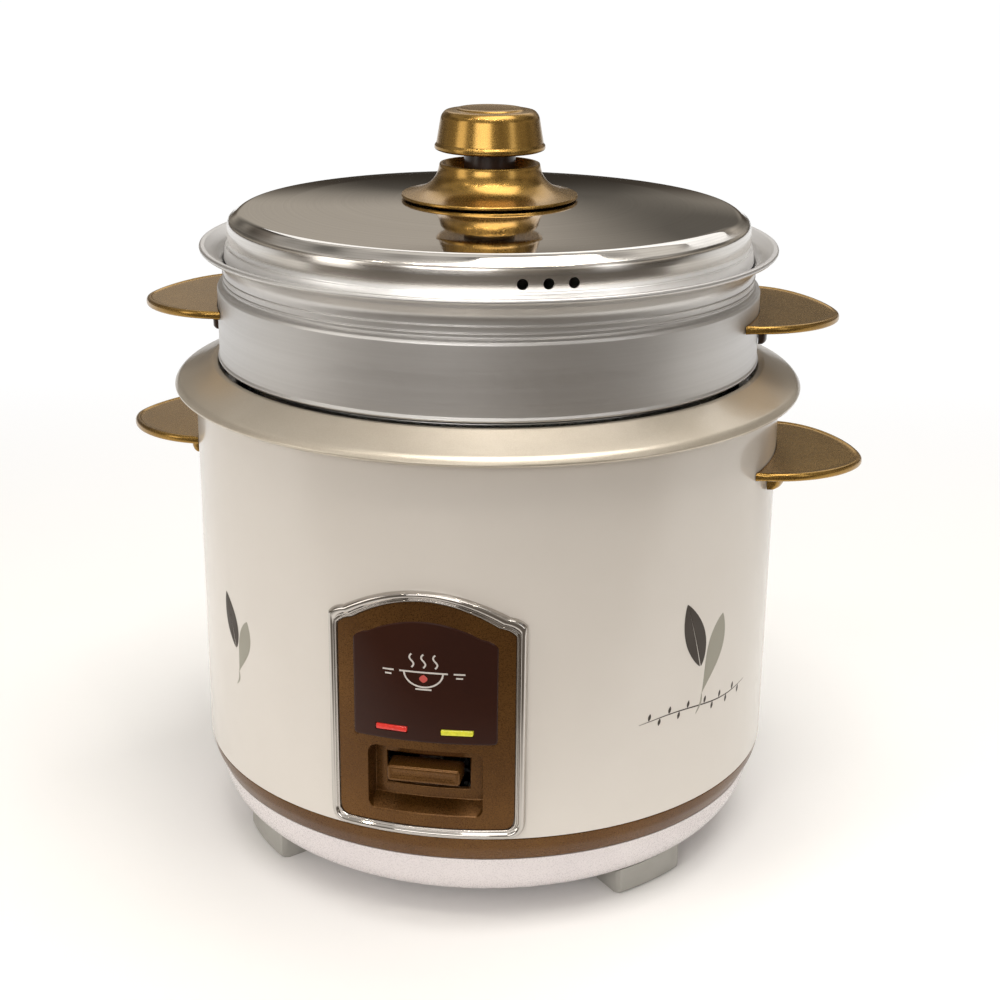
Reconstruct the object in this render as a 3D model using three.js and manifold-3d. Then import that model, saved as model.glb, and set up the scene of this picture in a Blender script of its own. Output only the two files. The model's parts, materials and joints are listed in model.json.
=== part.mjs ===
// Electric rice cooker: drum body, inner pot, steamer tray and steel lid, with the switch mechanism inside.
// Millimetres, +Z up. The floor is z = 0, the cooker's axis is x = y = 0 and the switch panel faces -Y.
import * as THREE from 'three';
import { mergeVertices } from 'three/addons/utils/BufferGeometryUtils.js';
import Module from 'manifold-3d';

const wasm = await Module();
wasm.setup();

// ---------------------------------------------------------------- driving dimensions

const gap = 0.3; // between two pieces that touch
const bigSteps = 36; // facets round the drum
const midSteps = 26;
const smallSteps = 14;

const shellRadius = 133.4;
const shellWall = 1.0;
const shellHeight = 167.3;

const footHeight = 9.0;
const footRadius = 117.8;
const footDepth = 20;
const footSpan = 19; // degrees
const footAzimuth = 51; // degrees from the front or back centre line

const panWall = 1.5;
const panDepth = 24.8; // from the pan's floor up to the trim band
const panFloorRadius = 106;
const panOpeningRadius = 84;
const bandHeight = 11.7;
const bandInset = 4.1;
const plateSheet = 1.2;
const bottomPlateRadius = 94;

const ringOverhang = 9.6;
const ringInset = 11.0;
const ringRise = 10.9;

const linerWall = 1.2;
const linerGap = 17.4; // shell outside to liner outside
const linerDrop = 27.0; // liner floor above the shell's lower edge
const potWall = 1.5;
const potGap = 4.8;
const potCorner = 16;
const potRimOverhang = 9.0;

const heaterRadius = 92;
const heaterThickness = 12;
const heaterBore = 16;
const strutHeight = 5.6;
const strutRadius = 4;

const steamerWall = 1.2;
const steamerInset = 0.1; // steamer wall inside the ring's opening
const steamerSkirt = 20; // depth of the part that drops into the pot
const steamerHeight = 31.4; // visible wall up to the ledge
const neckInset = 2.8;
const neckHeight = 7.3;
const seatBead = 0.6; // bead round the foot of the steamer's wall
const rimFlare = 8.0;
const rimRise = 8.6;
const rimBead = 1.3;
const steamHoleRadius = 2.4;
const steamHolePitch = 27;

const lidWall = 1.0;
const lidHemHeight = 8.0;
const lidSkirtHeight = 9.0;
const lidCrown = 8.7;
const ventRadius = 2.25;
const ventSpacing = 10.4;
const ventAzimuth = 22.4; // degrees

const knobBaseRadius = 39.5;
const knobBaseHeight = 15.2;
const knobThroatRadius = 22.3;
const knobNeckRadius = 11.5;
const knobCapRadius = 24.7;
const knobCapHeight = 18.5;
const knobLift = 5.5; // cap above the flange

const bodyGripReach = 38.6;
const bodyGripHalfWidth = 43;
const bodyGripZ = 187.5;
const steamerGripReach = 36;
const steamerGripHalfWidth = 44;
const steamerGripDrop = 8.8; // grip top below the steamer's ledge
const steamerTurn = 6; // degrees, as the tray happens to sit
const gripSheet = 3.5;
const bodyGripRootDrop = 12.5; // root's bottom below the grip's top

const panelHalfWidth = 41.8;
const panelFoot = 1.3; // panel's lower edge above the shell's lower edge
const panelHeight = 96.0;
const panelArch = 14.3;
const bezelWidth = 4;
const bezelProud = 3.0;
const faceProud = 1.7;
const recessDepth = 6.2;
const switchRest = 30.0; // tab's middle above the shell's lower edge
const switchTravel = 4.9;
const tabWidth = 31.2;
const tabHeight = 7.3;

const leverArm = 72; // pivot to the cooker's axis
const leverWidth = 10;
const leverSheet = 2.5;
const leverDrop = 12.5; // lever's top below the liner floor
const pivotRadius = 2;
const bossRadius = 5;

const inletWidth = 40;
const inletHeight = 28;
const inletRise = 16; // inlet's middle above the shell's lower edge
const inletProud = 5.1;
const pinRadius = 2;

// ---------------------------------------------------------------- derived levels and radii

const panFloor = footHeight;
const bandBottom = panFloor + panDepth + gap;
const shellBottom = bandBottom + bandHeight + gap;
const shellTop = shellBottom + shellHeight;
const bandRadius = shellRadius - bandInset;
const ringOuter = shellRadius + ringOverhang;
const ringOpening = shellRadius - ringInset;
const ringTop = shellTop + ringRise;

const wallCutInner = shellRadius - 25; // a hole through the shell's wall runs from here
const wallCutOuter = shellRadius + 7; // to here
const linerRadius = shellRadius - linerGap;
const linerFloor = shellBottom + linerDrop;
const linerTop = shellTop + 0.2;
const potRadius = linerRadius - linerWall - potGap;
const strutBottom = linerFloor + linerWall + gap;
const heaterBottom = strutBottom + strutHeight + gap;
const heaterTop = heaterBottom + heaterThickness;
const potBottom = heaterTop + gap;
const potTop = ringTop + gap;
const potRimRadius = potRadius + potRimOverhang;

const trayRadius = ringOpening - steamerInset;
const traySeat = potTop + gap;
const trayLower = potRadius - potWall - 2;
const trayFloor = traySeat - steamerSkirt;
const trayLedge = traySeat + steamerHeight + 2;
const neckRadius = trayRadius - neckInset;
const neckTop = trayLedge + neckHeight;
const rimZ = neckTop + rimRise + 1.4;
const rimCentreRadius = neckRadius + rimFlare + 0.9;

const lidHemBottom = neckTop + 4;
const lidHemTop = lidHemBottom + lidHemHeight;
const lidRadius = neckRadius - 2.4;
const lidShoulder = lidHemTop + lidSkirtHeight;
const lidTop = lidShoulder + lidCrown;

const pivotY = -leverArm;
const leverTop = linerFloor - leverDrop;
const pivotZ = leverTop - leverSheet / 2;
const tabZ = shellBottom + switchRest;
const tabReach = shellRadius + 3.6;
const switchAngle = switchTravel / (tabReach - 5 - leverArm);
const magnetTravel = leverArm * Math.sin(switchAngle);

// ---------------------------------------------------------------- finishes

const finish = (color, roughness, metalness) =>
  new THREE.MeshStandardMaterial({ color, roughness, metalness });
const cream = finish(0xe6dfd0, 0.15, 0);
const pearl = finish(0xe9e4e2, 0.25, 0);
const champagne = finish(0xb9a583, 0.35, 0.6);
const bronze = finish(0x93621c, 0.28, 0.5);
const umber = finish(0x4a2d12, 0.3, 0.2);
const chrome = finish(0xdddddd, 0.08, 1);
const steel = finish(0xc9c9c6, 0.15, 1);
const alloy = finish(0xbfc2c4, 0.4, 0.9);
const greyPlastic = finish(0xa6a69f, 0.5, 0);
const smoked = finish(0x3c1c10, 0.1, 0);
const redLens = finish(0xc23b22, 0.2, 0);
const amberLens = finish(0xd9d03a, 0.2, 0);
const ferrite = finish(0x2b2b2e, 0.6, 0.1);
const brass = finish(0xb8963e, 0.3, 0.9);
const black = finish(0x1c1c1c, 0.5, 0);

// ---------------------------------------------------------------- geometry helpers

const radians = THREE.MathUtils.degToRad;

// A closed geometry with shared vertices, no collapsed triangles, and its faces pointing out.
function tidy(source) {
  const bare = new THREE.BufferGeometry();
  bare.setAttribute('position', source.getAttribute('position'));
  bare.setIndex(source.getIndex());
  const merged = mergeVertices(bare, 1e-4);
  const at = merged.getAttribute('position');
  const corner = [new THREE.Vector3(), new THREE.Vector3(), new THREE.Vector3()];
  const kept = [];
  let volume = 0;
  for (let i = 0; i < merged.index.count; i += 3) {
    const [a, b, c] = [0, 1, 2].map((k) => merged.index.getX(i + k));
    if (a === b || b === c || c === a) continue;
    kept.push(a, b, c);
    [a, b, c].forEach((vertex, k) => corner[k].fromBufferAttribute(at, vertex));
    volume += corner[0].dot(corner[1].clone().cross(corner[2]));
  }
  if (volume < 0) kept.reverse();
  merged.setIndex(kept);
  return merged;
}

function solid(geometry) {
  const closed = tidy(geometry);
  const vertProperties = closed.getAttribute('position').array;
  const triVerts = new Uint32Array(closed.index.array);
  return new wasm.Manifold(new wasm.Mesh({ numProp: 3, vertProperties, triVerts }));
}

function geometryOf(body) {
  const mesh = body.getMesh();
  const geometry = new THREE.BufferGeometry();
  geometry.setAttribute('position', new THREE.BufferAttribute(new Float32Array(mesh.vertProperties), 3));
  geometry.setIndex(new THREE.BufferAttribute(new Uint32Array(mesh.triVerts), 1));
  return geometry;
}

const cut = (body, ...tools) =>
  geometryOf(tools.reduce((left, tool) => left.subtract(solid(tool)), solid(body)));
const join = (...pieces) => geometryOf(pieces.map(solid).reduce((all, piece) => all.add(piece)));
const common = (a, b) => geometryOf(solid(a).intersect(solid(b)));

// A turned piece. The outline is [radius, height] points that start and end on the axis,
// or close on themselves.
function turned(outline, steps = bigSteps) {
  const first = outline[0];
  const last = outline[outline.length - 1];
  const points = outline.map(([r, z]) => new THREE.Vector2(r, z));
  if (first[0] > 0 || last[0] > 0) points.push(points[0].clone());
  return tidy(new THREE.LatheGeometry(points, steps).rotateX(Math.PI / 2));
}

const tube = (inner, outer, z0, z1, steps = bigSteps) =>
  turned([[inner, z0], [outer, z0], [outer, z1], [inner, z1]], steps);

const disc = (radius, z0, z1, steps = smallSteps) =>
  turned([[0, z0], [radius, z0], [radius, z1], [0, z1]], steps);

const block = (x0, x1, y0, y1, z0, z1) =>
  new THREE.BoxGeometry(x1 - x0, y1 - y0, z1 - z0).translate((x0 + x1) / 2, (y0 + y1) / 2, (z0 + z1) / 2);

// A rod along X, Y or Z, from one coordinate to another.
function rod(axis, radius, from, to, at, steps = smallSteps) {
  const geometry = new THREE.CylinderGeometry(radius, radius, to - from, steps);
  const middle = (from + to) / 2;
  if (axis === 'x') return geometry.rotateZ(Math.PI / 2).translate(middle, at[0], at[1]);
  if (axis === 'y') return geometry.translate(at[0], middle, at[1]);
  return geometry.rotateX(Math.PI / 2).translate(at[0], at[1], middle);
}

// Points on an arc in an outline, from one angle to another in degrees.
function arc(centreRadius, centreZ, radius, from, to, steps = 3) {
  return Array.from({ length: steps + 1 }, (_, i) => {
    const angle = radians(from + ((to - from) * i) / steps);
    return [centreRadius + radius * Math.cos(angle), centreZ + radius * Math.sin(angle)];
  });
}

// Points on a cubic curve in an outline.
function curve(from, control1, control2, to, steps = 4) {
  const vectors = [from, control1, control2, to].map(([r, z]) => new THREE.Vector2(r, z));
  return new THREE.CubicBezierCurve(...vectors).getPoints(steps).map((p) => [p.x, p.y]);
}

// An outline in the XZ plane, pushed back from y = -depth to y = 0 and moved to y = front + depth.
function fromFront(shape, front, back, curveSegments = 4) {
  const depth = back - front;
  const geometry = new THREE.ExtrudeGeometry(shape, { depth, bevelEnabled: false, curveSegments });
  return geometry.rotateX(Math.PI / 2).translate(0, back, 0);
}

// A panel outline: straight sides, an arched top, a level bottom and rounded lower corners.
function archedShape(halfWidth, bottom, shoulder, apex, corner) {
  const shape = new THREE.Shape();
  shape.moveTo(-halfWidth, bottom + corner);
  shape.quadraticCurveTo(-halfWidth, bottom, -halfWidth + corner, bottom);
  shape.lineTo(halfWidth - corner, bottom);
  shape.quadraticCurveTo(halfWidth, bottom, halfWidth, bottom + corner);
  shape.lineTo(halfWidth, shoulder);
  shape.quadraticCurveTo(halfWidth - 2, shoulder + 3, halfWidth - 7, shoulder + 4);
  shape.quadraticCurveTo(0, 2 * apex - shoulder - 4, 7 - halfWidth, shoulder + 4);
  shape.quadraticCurveTo(2 - halfWidth, shoulder + 3, -halfWidth, shoulder);
  return shape;
}

const boxShape = (x0, x1, z0, z1) =>
  new THREE.Shape([[x0, z0], [x1, z0], [x1, z1], [x0, z1]].map(([x, z]) => new THREE.Vector2(x, z)));

// A front outline pushed right through the shell's front wall.
const throughFront = (shape) => fromFront(shape, -shellRadius - 27, -shellRadius + 33);

// The part of a panel block that lies between two radii about the cooker's axis.
const curved = (geometry, inner, outer) => common(geometry, tube(inner, outer, 0, shellTop));

const mirrored = (geometry) => tidy(geometry.clone().rotateZ(Math.PI));

function part(name, geometry, material) {
  const mesh = new THREE.Mesh(geometry, material);
  mesh.name = name;
  return mesh;
}

function assembly(...parts) {
  return new THREE.Group().add(...parts);
}

// ---------------------------------------------------------------- casing

const bowlOuter = curve(
  [bandRadius - 0.2, bandBottom - gap],
  [bandRadius - 1.5, panFloor + 13],
  [panFloorRadius + 15, panFloor + 1.5],
  [panFloorRadius, panFloor],
  5,
);

// The bowl's outline moved inwards or outwards by a wall or a gap.
const bowlOffset = (by) => bowlOuter.map(([r, z], i) => [r + by * (1 - 0.1 * i), z - by * (0.16 * i + 0.04)]);

const bottomScrewRadius = (bottomPlateRadius + panOpeningRadius) / 2;
const bottomScrews = [90, 210, 330].map(radians).map((a) => [
  bottomScrewRadius * Math.cos(a),
  bottomScrewRadius * Math.sin(a),
]);

function basePan() {
  const inner = bowlOffset(-panWall).reverse();
  const tongue = bandRadius - 3.9;
  const outline = [
    ...bowlOuter,
    [panOpeningRadius, panFloor],
    [panOpeningRadius, panFloor + panWall],
    ...inner.slice(0, -1),
    [tongue - 1.2, bandBottom - 1],
    [tongue - 1.2, bandBottom + 6],
    [tongue, bandBottom + 6],
    [tongue, bandBottom - gap],
  ];
  const holes = bottomScrews.map((at) => rod('z', 1.9, panFloor - 1, panFloor + 3, at));
  return part('base_pan', cut(turned(outline), ...holes), pearl);
}

function trimBand() {
  const tongue = shellRadius - shellWall - gap;
  const outline = [
    [bandRadius - 2, bandBottom],
    [bandRadius, bandBottom],
    [shellRadius - 1.1, bandBottom + bandHeight * 0.55],
    [shellRadius, shellBottom - gap],
    [tongue, shellBottom - gap],
    [tongue, shellBottom + 4],
    [tongue - 1.3, shellBottom + 4],
    [tongue - 1.3, shellBottom - 1],
  ];
  return part('trim_band', turned(outline), bronze);
}

function outerShell() {
  const sheet = tube(shellRadius - shellWall, shellRadius, shellBottom, shellTop);
  const panelOpening = boxShape(-27, 27, shellBottom + 7, shellBottom + 56);
  const panelHole = fromFront(panelOpening, -wallCutOuter, -wallCutInner);
  const inletHole = block(-15.4, 15.4, wallCutInner, wallCutOuter, inletZ - 10.4, inletZ + 10.4);
  const screwHoles = gripScrews.map(([side, y]) => {
    const ends = [side * wallCutInner, side * wallCutOuter].sort((a, b) => a - b);
    return rod('x', 2.1, ends[0], ends[1], [y, gripScrewZ], 8);
  });
  return part('outer_shell', cut(sheet, panelHole, inletHole, ...screwHoles), cream);
}

function topRing() {
  const tongue = shellRadius - shellWall - gap - 0.2;
  const underside = shellTop + gap;
  const outline = [
    [ringOpening, linerTop + gap],
    ...arc(ringOpening + 1.2, ringTop - 1.3, 1.2, 180, 75, 3),
    [ringOuter - 3, shellTop + 4.3],
    [ringOuter - 0.7, shellTop + 2.9],
    [ringOuter, shellTop + 1.1],
    [ringOuter - 1.1, shellTop - 0.4],
    [shellRadius + 0.8, underside],
    [tongue, underside],
    [tongue, shellTop - 5.3],
    [tongue - 1.5, shellTop - 5.3],
    [tongue - 1.5, shellTop + 5.5],
    [ringOpening + 1.8, ringTop - 3],
    [ringOpening + 1.8, linerTop + gap],
  ];
  return part('top_ring', turned(outline), champagne);
}

function innerLiner() {
  const flange = shellRadius - shellWall - 2.6;
  const tongueClear = flange - 1.2;
  const outline = [
    [14, linerFloor],
    [14, linerFloor + linerWall],
    [linerRadius - linerWall, linerFloor + linerWall],
    [linerRadius - linerWall, linerTop],
    [tongueClear, linerTop],
    [tongueClear, linerTop - linerWall],
    [linerRadius, linerTop - linerWall],
    [linerRadius, linerFloor],
  ];
  const terminalHoles = terminals.map((at) => rod('z', 5, linerFloor - 2, linerFloor + 3, at));
  return part('inner_liner', cut(turned(outline), ...terminalHoles), alloy);
}

function bottomPlate() {
  const top = panFloor - gap;
  const sheet = disc(bottomPlateRadius, top - plateSheet, top, bigSteps);
  const holes = bottomScrews.map((at) => rod('z', 1.9, top - 3, top + 3, at));
  const slots = [-2, -1, 0, 1, 2].map((i) => block(-30, 30, i * 14 - 2, i * 14 + 2, top - 3, top + 3));
  return part('bottom_plate', cut(sheet, ...holes, ...slots), alloy);
}

function bottomScrewSet() {
  const headTop = panFloor - gap - plateSheet - gap;
  const headBottom = headTop - 1.6;
  const tip = panFloor + 8;
  const outline = [[0, headBottom], [3.4, headBottom], [3.4, headTop], [1.5, headTop], [1.5, tip], [0, tip]];
  const screw = turned(outline, 10);
  return bottomScrews.map(([x, y], i) => {
    const mesh = part(`bottom_screw_${i + 1}`, screw, steel);
    mesh.position.set(x, y, 0);
    return mesh;
  });
}

function footSet() {
  const top = panFloor + 9;
  const ringBlock = turned(
    [
      [footRadius - footDepth, 0],
      [footRadius - 1.5, 0],
      [footRadius, 1.5],
      [footRadius, top],
      [footRadius - footDepth, top],
    ],
    bigSteps,
  );
  const bowl = bowlOffset(gap);
  const above = turned([...bowl, [0, panFloor - gap], [0, top + 30], [bandRadius, top + 30]]);
  const half = radians(footSpan / 2);
  const reach = footRadius * 1.2;
  const wedge = new THREE.Shape();
  wedge.moveTo(0, 0);
  wedge.lineTo(reach * Math.cos(half), -reach * Math.sin(half));
  wedge.lineTo(reach * Math.cos(half), reach * Math.sin(half));
  const sector = new THREE.ExtrudeGeometry(wedge, { depth: top + 2, bevelEnabled: false }).translate(0, 0, -1);
  const azimuths = [footAzimuth, 180 - footAzimuth, 180 + footAzimuth, -footAzimuth];
  return azimuths.map((azimuth, i) => {
    const turnedSector = sector.clone().rotateZ(radians(azimuth - 90));
    const foot = solid(ringBlock).intersect(solid(turnedSector)).subtract(solid(above));
    return part(`foot_${i + 1}`, geometryOf(foot), greyPlastic);
  });
}

// ---------------------------------------------------------------- grips

const gripScrewZ = bodyGripZ - 8;
const gripScrewSeat = shellRadius - 3.6; // outer face of the screw's head, inside the shell
const gripScrews = [[-1, -18], [-1, 18], [1, -18], [1, 18]];

// A half-oval tongue that reaches out along +X from a drum, with a root block under it.
function grip(drumRadius, reach, halfWidth, top, rootDrop, rootHalfWidth, rootReach) {
  const plan = new THREE.Shape();
  plan.moveTo(drumRadius - 25, -halfWidth);
  plan.lineTo(drumRadius - 4, -halfWidth);
  const tip = drumRadius + reach;
  const shoulder = drumRadius + reach * 0.55;
  plan.bezierCurveTo(shoulder, -halfWidth, tip, -halfWidth * 0.32, tip, 0);
  plan.bezierCurveTo(tip, halfWidth * 0.32, shoulder, halfWidth, drumRadius - 4, halfWidth);
  plan.lineTo(drumRadius - 25, halfWidth);
  const tongue = new THREE.ExtrudeGeometry(plan, { depth: gripSheet, bevelEnabled: false, curveSegments: 6 });
  tongue.translate(0, 0, top - gripSheet);
  const rootBox = block(
    drumRadius - 25, drumRadius + rootReach, -rootHalfWidth, rootHalfWidth, top - rootDrop, top - 1,
  );
  const drum = disc(drumRadius + gap, top - rootDrop - 10, top + 10, bigSteps);
  return cut(join(tongue, rootBox), drum);
}

function bodyGrips() {
  const plain = grip(shellRadius, bodyGripReach, bodyGripHalfWidth, bodyGripZ, bodyGripRootDrop, 26, 7);
  const sockets = gripScrews
    .filter(([side]) => side > 0)
    .map(([, y]) => rod('x', 2.1, wallCutInner, shellRadius + 5, [y, gripScrewZ], 8));
  const right = cut(plain, ...sockets);
  return [part('body_handle_right', right, bronze), part('body_handle_left', mirrored(right), bronze)];
}

function gripScrewSet() {
  return gripScrews.map(([side, y], i) => {
    const head = rod('x', 3.4, gripScrewSeat - 1.8, gripScrewSeat, [0, 0], 8);
    const shank = rod('x', 1.6, gripScrewSeat - 0.8, shellRadius + 4, [0, 0], 8);
    const mesh = part(`handle_screw_${i + 1}`, join(head, shank), steel);
    mesh.position.set(0, y, gripScrewZ);
    if (side < 0) mesh.rotation.z = Math.PI;
    return mesh;
  });
}

// ---------------------------------------------------------------- front panel

const panelBottom = shellBottom + panelFoot;
const panelShoulder = panelBottom + panelHeight;
const panelApex = panelShoulder + panelArch;
const faceInner = shellRadius + gap;
const faceOuter = shellRadius + faceProud;
const lensZ = shellBottom + 50;
const lensX = 13.9;
const lensHalf = { x: 6.7, z: 1.2 };
const recess = { x: 24.6, z0: shellBottom + 10.9, z1: shellBottom + 41 };

function panelBezel() {
  const outer = throughFront(archedShape(panelHalfWidth, panelBottom, panelShoulder, panelApex, 7));
  const inset = panelHalfWidth - bezelWidth;
  const hole = archedShape(inset, panelBottom + bezelWidth, panelShoulder - 4, panelApex - bezelWidth, 5);
  const frame = cut(outer, throughFront(hole));
  return part('panel_bezel', curved(frame, faceInner, shellRadius + bezelProud), chrome);
}

const lensHoles = (grow) =>
  [-lensX, lensX].map((x) =>
    throughFront(
      boxShape(
        x - lensHalf.x - grow, x + lensHalf.x + grow, lensZ - lensHalf.z - grow, lensZ + lensHalf.z + grow,
      ),
    ),
  );

const windowShape = (shrink) =>
  archedShape(30.9 - shrink, lensZ - 5.6 + shrink, panelShoulder - 8.6 - shrink, panelApex - 12.3 - shrink, 2);

function panelFace() {
  const inset = panelHalfWidth - bezelWidth - gap;
  const bottom = panelBottom + bezelWidth + gap;
  const outline = archedShape(inset, bottom, panelShoulder - 4 - gap, panelApex - bezelWidth - gap, 5);
  const plate = curved(throughFront(outline), faceInner, faceOuter);
  const floorRadius = shellRadius - recessDepth;
  const { x, z0, z1 } = recess;
  const trayShape = boxShape(-x - 1.2, x + 1.2, z0 - 1.2, z1 + 1.2);
  const tray = curved(throughFront(trayShape), floorRadius - 1.2, faceOuter);
  const pocket = curved(throughFront(boxShape(-x, x, z0, z1)), floorRadius, faceOuter + 5);
  const slotHalf = tabWidth / 2 + 2.2;
  const slotBottom = tabZ - tabHeight / 2 - switchTravel - 1;
  const slotTop = tabZ + tabHeight / 2 + 1;
  const slot = throughFront(boxShape(-slotHalf, slotHalf, slotBottom, slotTop));
  const windowSeat = curved(throughFront(windowShape(0)), faceOuter - 1.1, faceOuter + 5);
  const geometry = cut(join(plate, tray), pocket, slot, windowSeat, ...lensHoles(0.3));
  return part('panel_face', geometry, bronze);
}

function panelWindow() {
  const pane = curved(throughFront(windowShape(gap)), faceOuter - 1.1 + gap, faceOuter + gap);
  return part('panel_window', cut(pane, ...lensHoles(0.3)), smoked);
}

function lampSet() {
  const names = [['lamp_lens_red', redLens], ['lamp_lens_amber', amberLens]];
  const lenses = lensHoles(0).map((bar, i) => {
    const [name, colour] = names[i];
    return part(name, curved(bar, faceInner - 4, faceOuter + 0.7), colour);
  });
  const lampY = -shellRadius + 8.6;
  const board = block(-26, 26, lampY + 2.2, lampY + 3.8, lensZ - 7, lensZ + 7);
  const bulbs = [-lensX, lensX].map((x) => rod('x', 2.6, x - 6, x + 6, [lampY, lensZ], 10));
  return [...lenses, part('lamp_board', join(board, ...bulbs), greyPlastic)];
}

// ---------------------------------------------------------------- heater and sensor

const terminals = [[-18, 62], [18, 62]];
const ferriteTop = heaterTop - 1.5;
const ferriteBottom = ferriteTop - 4.5;

function heatingPlate() {
  const outline = [
    [heaterBore, heaterBottom],
    [heaterRadius - 14, heaterBottom],
    [heaterRadius, heaterTop - 4],
    ...arc(heaterRadius - 3, heaterTop - 3, 3, 0, 90, 2),
    [heaterBore, heaterTop],
  ];
  return part('heating_plate', turned(outline), alloy);
}

function terminalSet() {
  return terminals.map((at, i) =>
    part(`heater_terminal_${i + 1}`, rod('z', 3.2, linerFloor - 6, heaterBottom - gap, at, 12), steel),
  );
}

function strutSet() {
  return [30, 150, 270].map(radians).map((a, i) => {
    const at = [70 * Math.cos(a), 70 * Math.sin(a)];
    const post = rod('z', strutRadius, strutBottom, strutBottom + strutHeight, at, 12);
    return part(`plate_strut_${i + 1}`, post, steel);
  });
}

function thermostatHousing() {
  const flange = strutBottom + 1;
  const outline = [
    [10.8, linerFloor - 2],
    [13, linerFloor - 2],
    [13, strutBottom],
    [19, strutBottom],
    [19, flange],
    [13, flange],
    [13, heaterTop - 4],
    [10.8, heaterTop - 4],
  ];
  return part('thermostat_housing', turned(outline, midSteps), steel);
}

function sensorSet() {
  const cap = turned([
    [0, heaterTop],
    [13.9, heaterTop],
    [14.5, heaterTop - 0.8],
    [14.5, heaterTop - 8],
    [13.3, heaterTop - 8],
    [13.3, heaterTop - 1.2],
    [0, heaterTop - 1.2],
  ], midSteps);
  const slug = disc(9, ferriteBottom, ferriteTop, 20);
  return [part('sensor_cap', cap, alloy), part('sensor_ferrite', slug, ferrite)];
}

function sensorSpring() {
  const turns = 3.5;
  const low = strutBottom + 2;
  const high = heaterTop - 10.5;
  const points = Array.from({ length: 43 }, (_, i) => {
    const angle = (i / 42) * turns * 2 * Math.PI;
    return new THREE.Vector3(14.3 * Math.cos(angle), 14.3 * Math.sin(angle), low + ((high - low) * i) / 42);
  });
  return part('sensor_spring', wire(points, 0.6, 42, 5), steel);
}

// A round wire along points, with closed ends.
function wire(points, radius, steps, sides = 6) {
  const section = new THREE.Shape(
    Array.from({ length: sides }, (_, i) => {
      const angle = (i / sides) * 2 * Math.PI;
      return new THREE.Vector2(radius * Math.cos(angle), radius * Math.sin(angle));
    }),
  );
  const extrudePath = new THREE.CatmullRomCurve3(points);
  return tidy(new THREE.ExtrudeGeometry(section, { steps, extrudePath, bevelEnabled: false }));
}

// ---------------------------------------------------------------- switch mechanism

const collarZ = leverTop + 1;
const magnetTop = ferriteBottom - magnetTravel - gap;
const magnetHeight = 6.5;

function magnetSet() {
  const discBottom = magnetTop - magnetHeight - gap - 1.5;
  const outline = [
    [0, leverTop - leverSheet - 3],
    [2, leverTop - leverSheet - 3],
    [2, collarZ],
    [5, collarZ],
    [5, collarZ + 2],
    [2, collarZ + 2],
    [2, discBottom],
    [9.6, discBottom],
    [9.6, magnetTop - 1],
    [8.6, magnetTop - 1],
    [8.6, discBottom + 1.5],
    [0, discBottom + 1.5],
  ];
  return [
    part('magnet_holder', turned(outline, 20), steel),
    part('magnet_disc', disc(8.2, magnetTop - magnetHeight, magnetTop, 20), ferrite),
  ];
}

function switchLever() {
  const half = leverWidth / 2;
  const riserY = -(linerRadius + 6.5);
  const bottom = leverTop - leverSheet;
  const stubZ = tabZ - leverSheet / 2;
  const arm = block(-half, half, riserY, 9, bottom, leverTop);
  const riser = block(-half, half, riserY, riserY + leverSheet, bottom, stubZ + leverSheet);
  const stub = block(-half, half, -tabReach + 5, riserY + 1, stubZ, stubZ + leverSheet);
  const boss = rod('x', bossRadius, -half, half, [pivotY, pivotZ], 20);
  const bore = rod('x', pivotRadius + gap, -half - 1, half + 1, [pivotY, pivotZ], 12);
  const rodHole = block(-3, 3, -3.6, 3.6, bottom - 1, leverTop + 1);
  return part('switch_lever', cut(join(arm, riser, stub, boss), bore, rodHole), steel);
}

function switchTab() {
  const half = tabWidth / 2;
  const z0 = tabZ - tabHeight / 2;
  const outline = new THREE.Shape();
  outline.moveTo(-half, z0 + 1.5);
  outline.quadraticCurveTo(-half, z0, -half + 1.5, z0);
  outline.lineTo(half - 1.5, z0);
  outline.quadraticCurveTo(half, z0, half, z0 + 1.5);
  outline.lineTo(half, z0 + tabHeight - 1.5);
  outline.quadraticCurveTo(half, z0 + tabHeight, half - 1.5, z0 + tabHeight);
  outline.lineTo(-half + 1.5, z0 + tabHeight);
  outline.quadraticCurveTo(-half, z0 + tabHeight, -half, z0 + tabHeight - 1.5);
  const bar = fromFront(outline, -tabReach, -tabReach + 10, 2);
  const reach = leverWidth / 2 + gap;
  const grow = leverSheet / 2 + gap;
  const socket = block(-reach, reach, -tabReach + 5 - gap, -tabReach + 20, tabZ - grow, tabZ + grow);
  return part('switch_tab', cut(bar, socket), bronze);
}

function leverBracket() {
  const top = linerFloor - gap;
  const inner = leverWidth / 2 + 1.1;
  const outer = inner + 1.5;
  const bottom = pivotZ - 6;
  const frame = cut(
    block(-outer, outer, pivotY - 8, pivotY + 8, bottom, top),
    block(-inner, inner, pivotY - 9, pivotY + 9, bottom - 1, top - 1.5),
    rod('x', pivotRadius + gap, -outer - 1, outer + 1, [pivotY, pivotZ], 12),
  );
  return part('lever_bracket', frame, steel);
}

function leverPin() {
  const end = leverWidth / 2 + 1.1 + 1.5 + 1.6;
  return part('lever_pin', rod('x', pivotRadius, -end, end, [pivotY, pivotZ], 12), steel);
}

function microswitch() {
  const y = pivotY - 28;
  const top = leverTop - leverSheet - switchTravel * 0.5 - 0.4;
  const box = block(-3.2, 3.2, y - 10, y + 10, top - 11, top - 1);
  const button = block(-1.2, 1.2, y - 2, y + 2, top - 2, top);
  const shelf = block(-5, 5, y - 10, 5 - panOpeningRadius + 2, top - 13.5, top - 10.5);
  const post = block(-5, 5, 1 - panOpeningRadius + 2, 5 - panOpeningRadius + 2, plateTop + gap, top - 12);
  return part('microswitch', join(box, button, shelf, post), black);
}

const plateTop = panFloor - gap;

// ---------------------------------------------------------------- mains side

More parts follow.
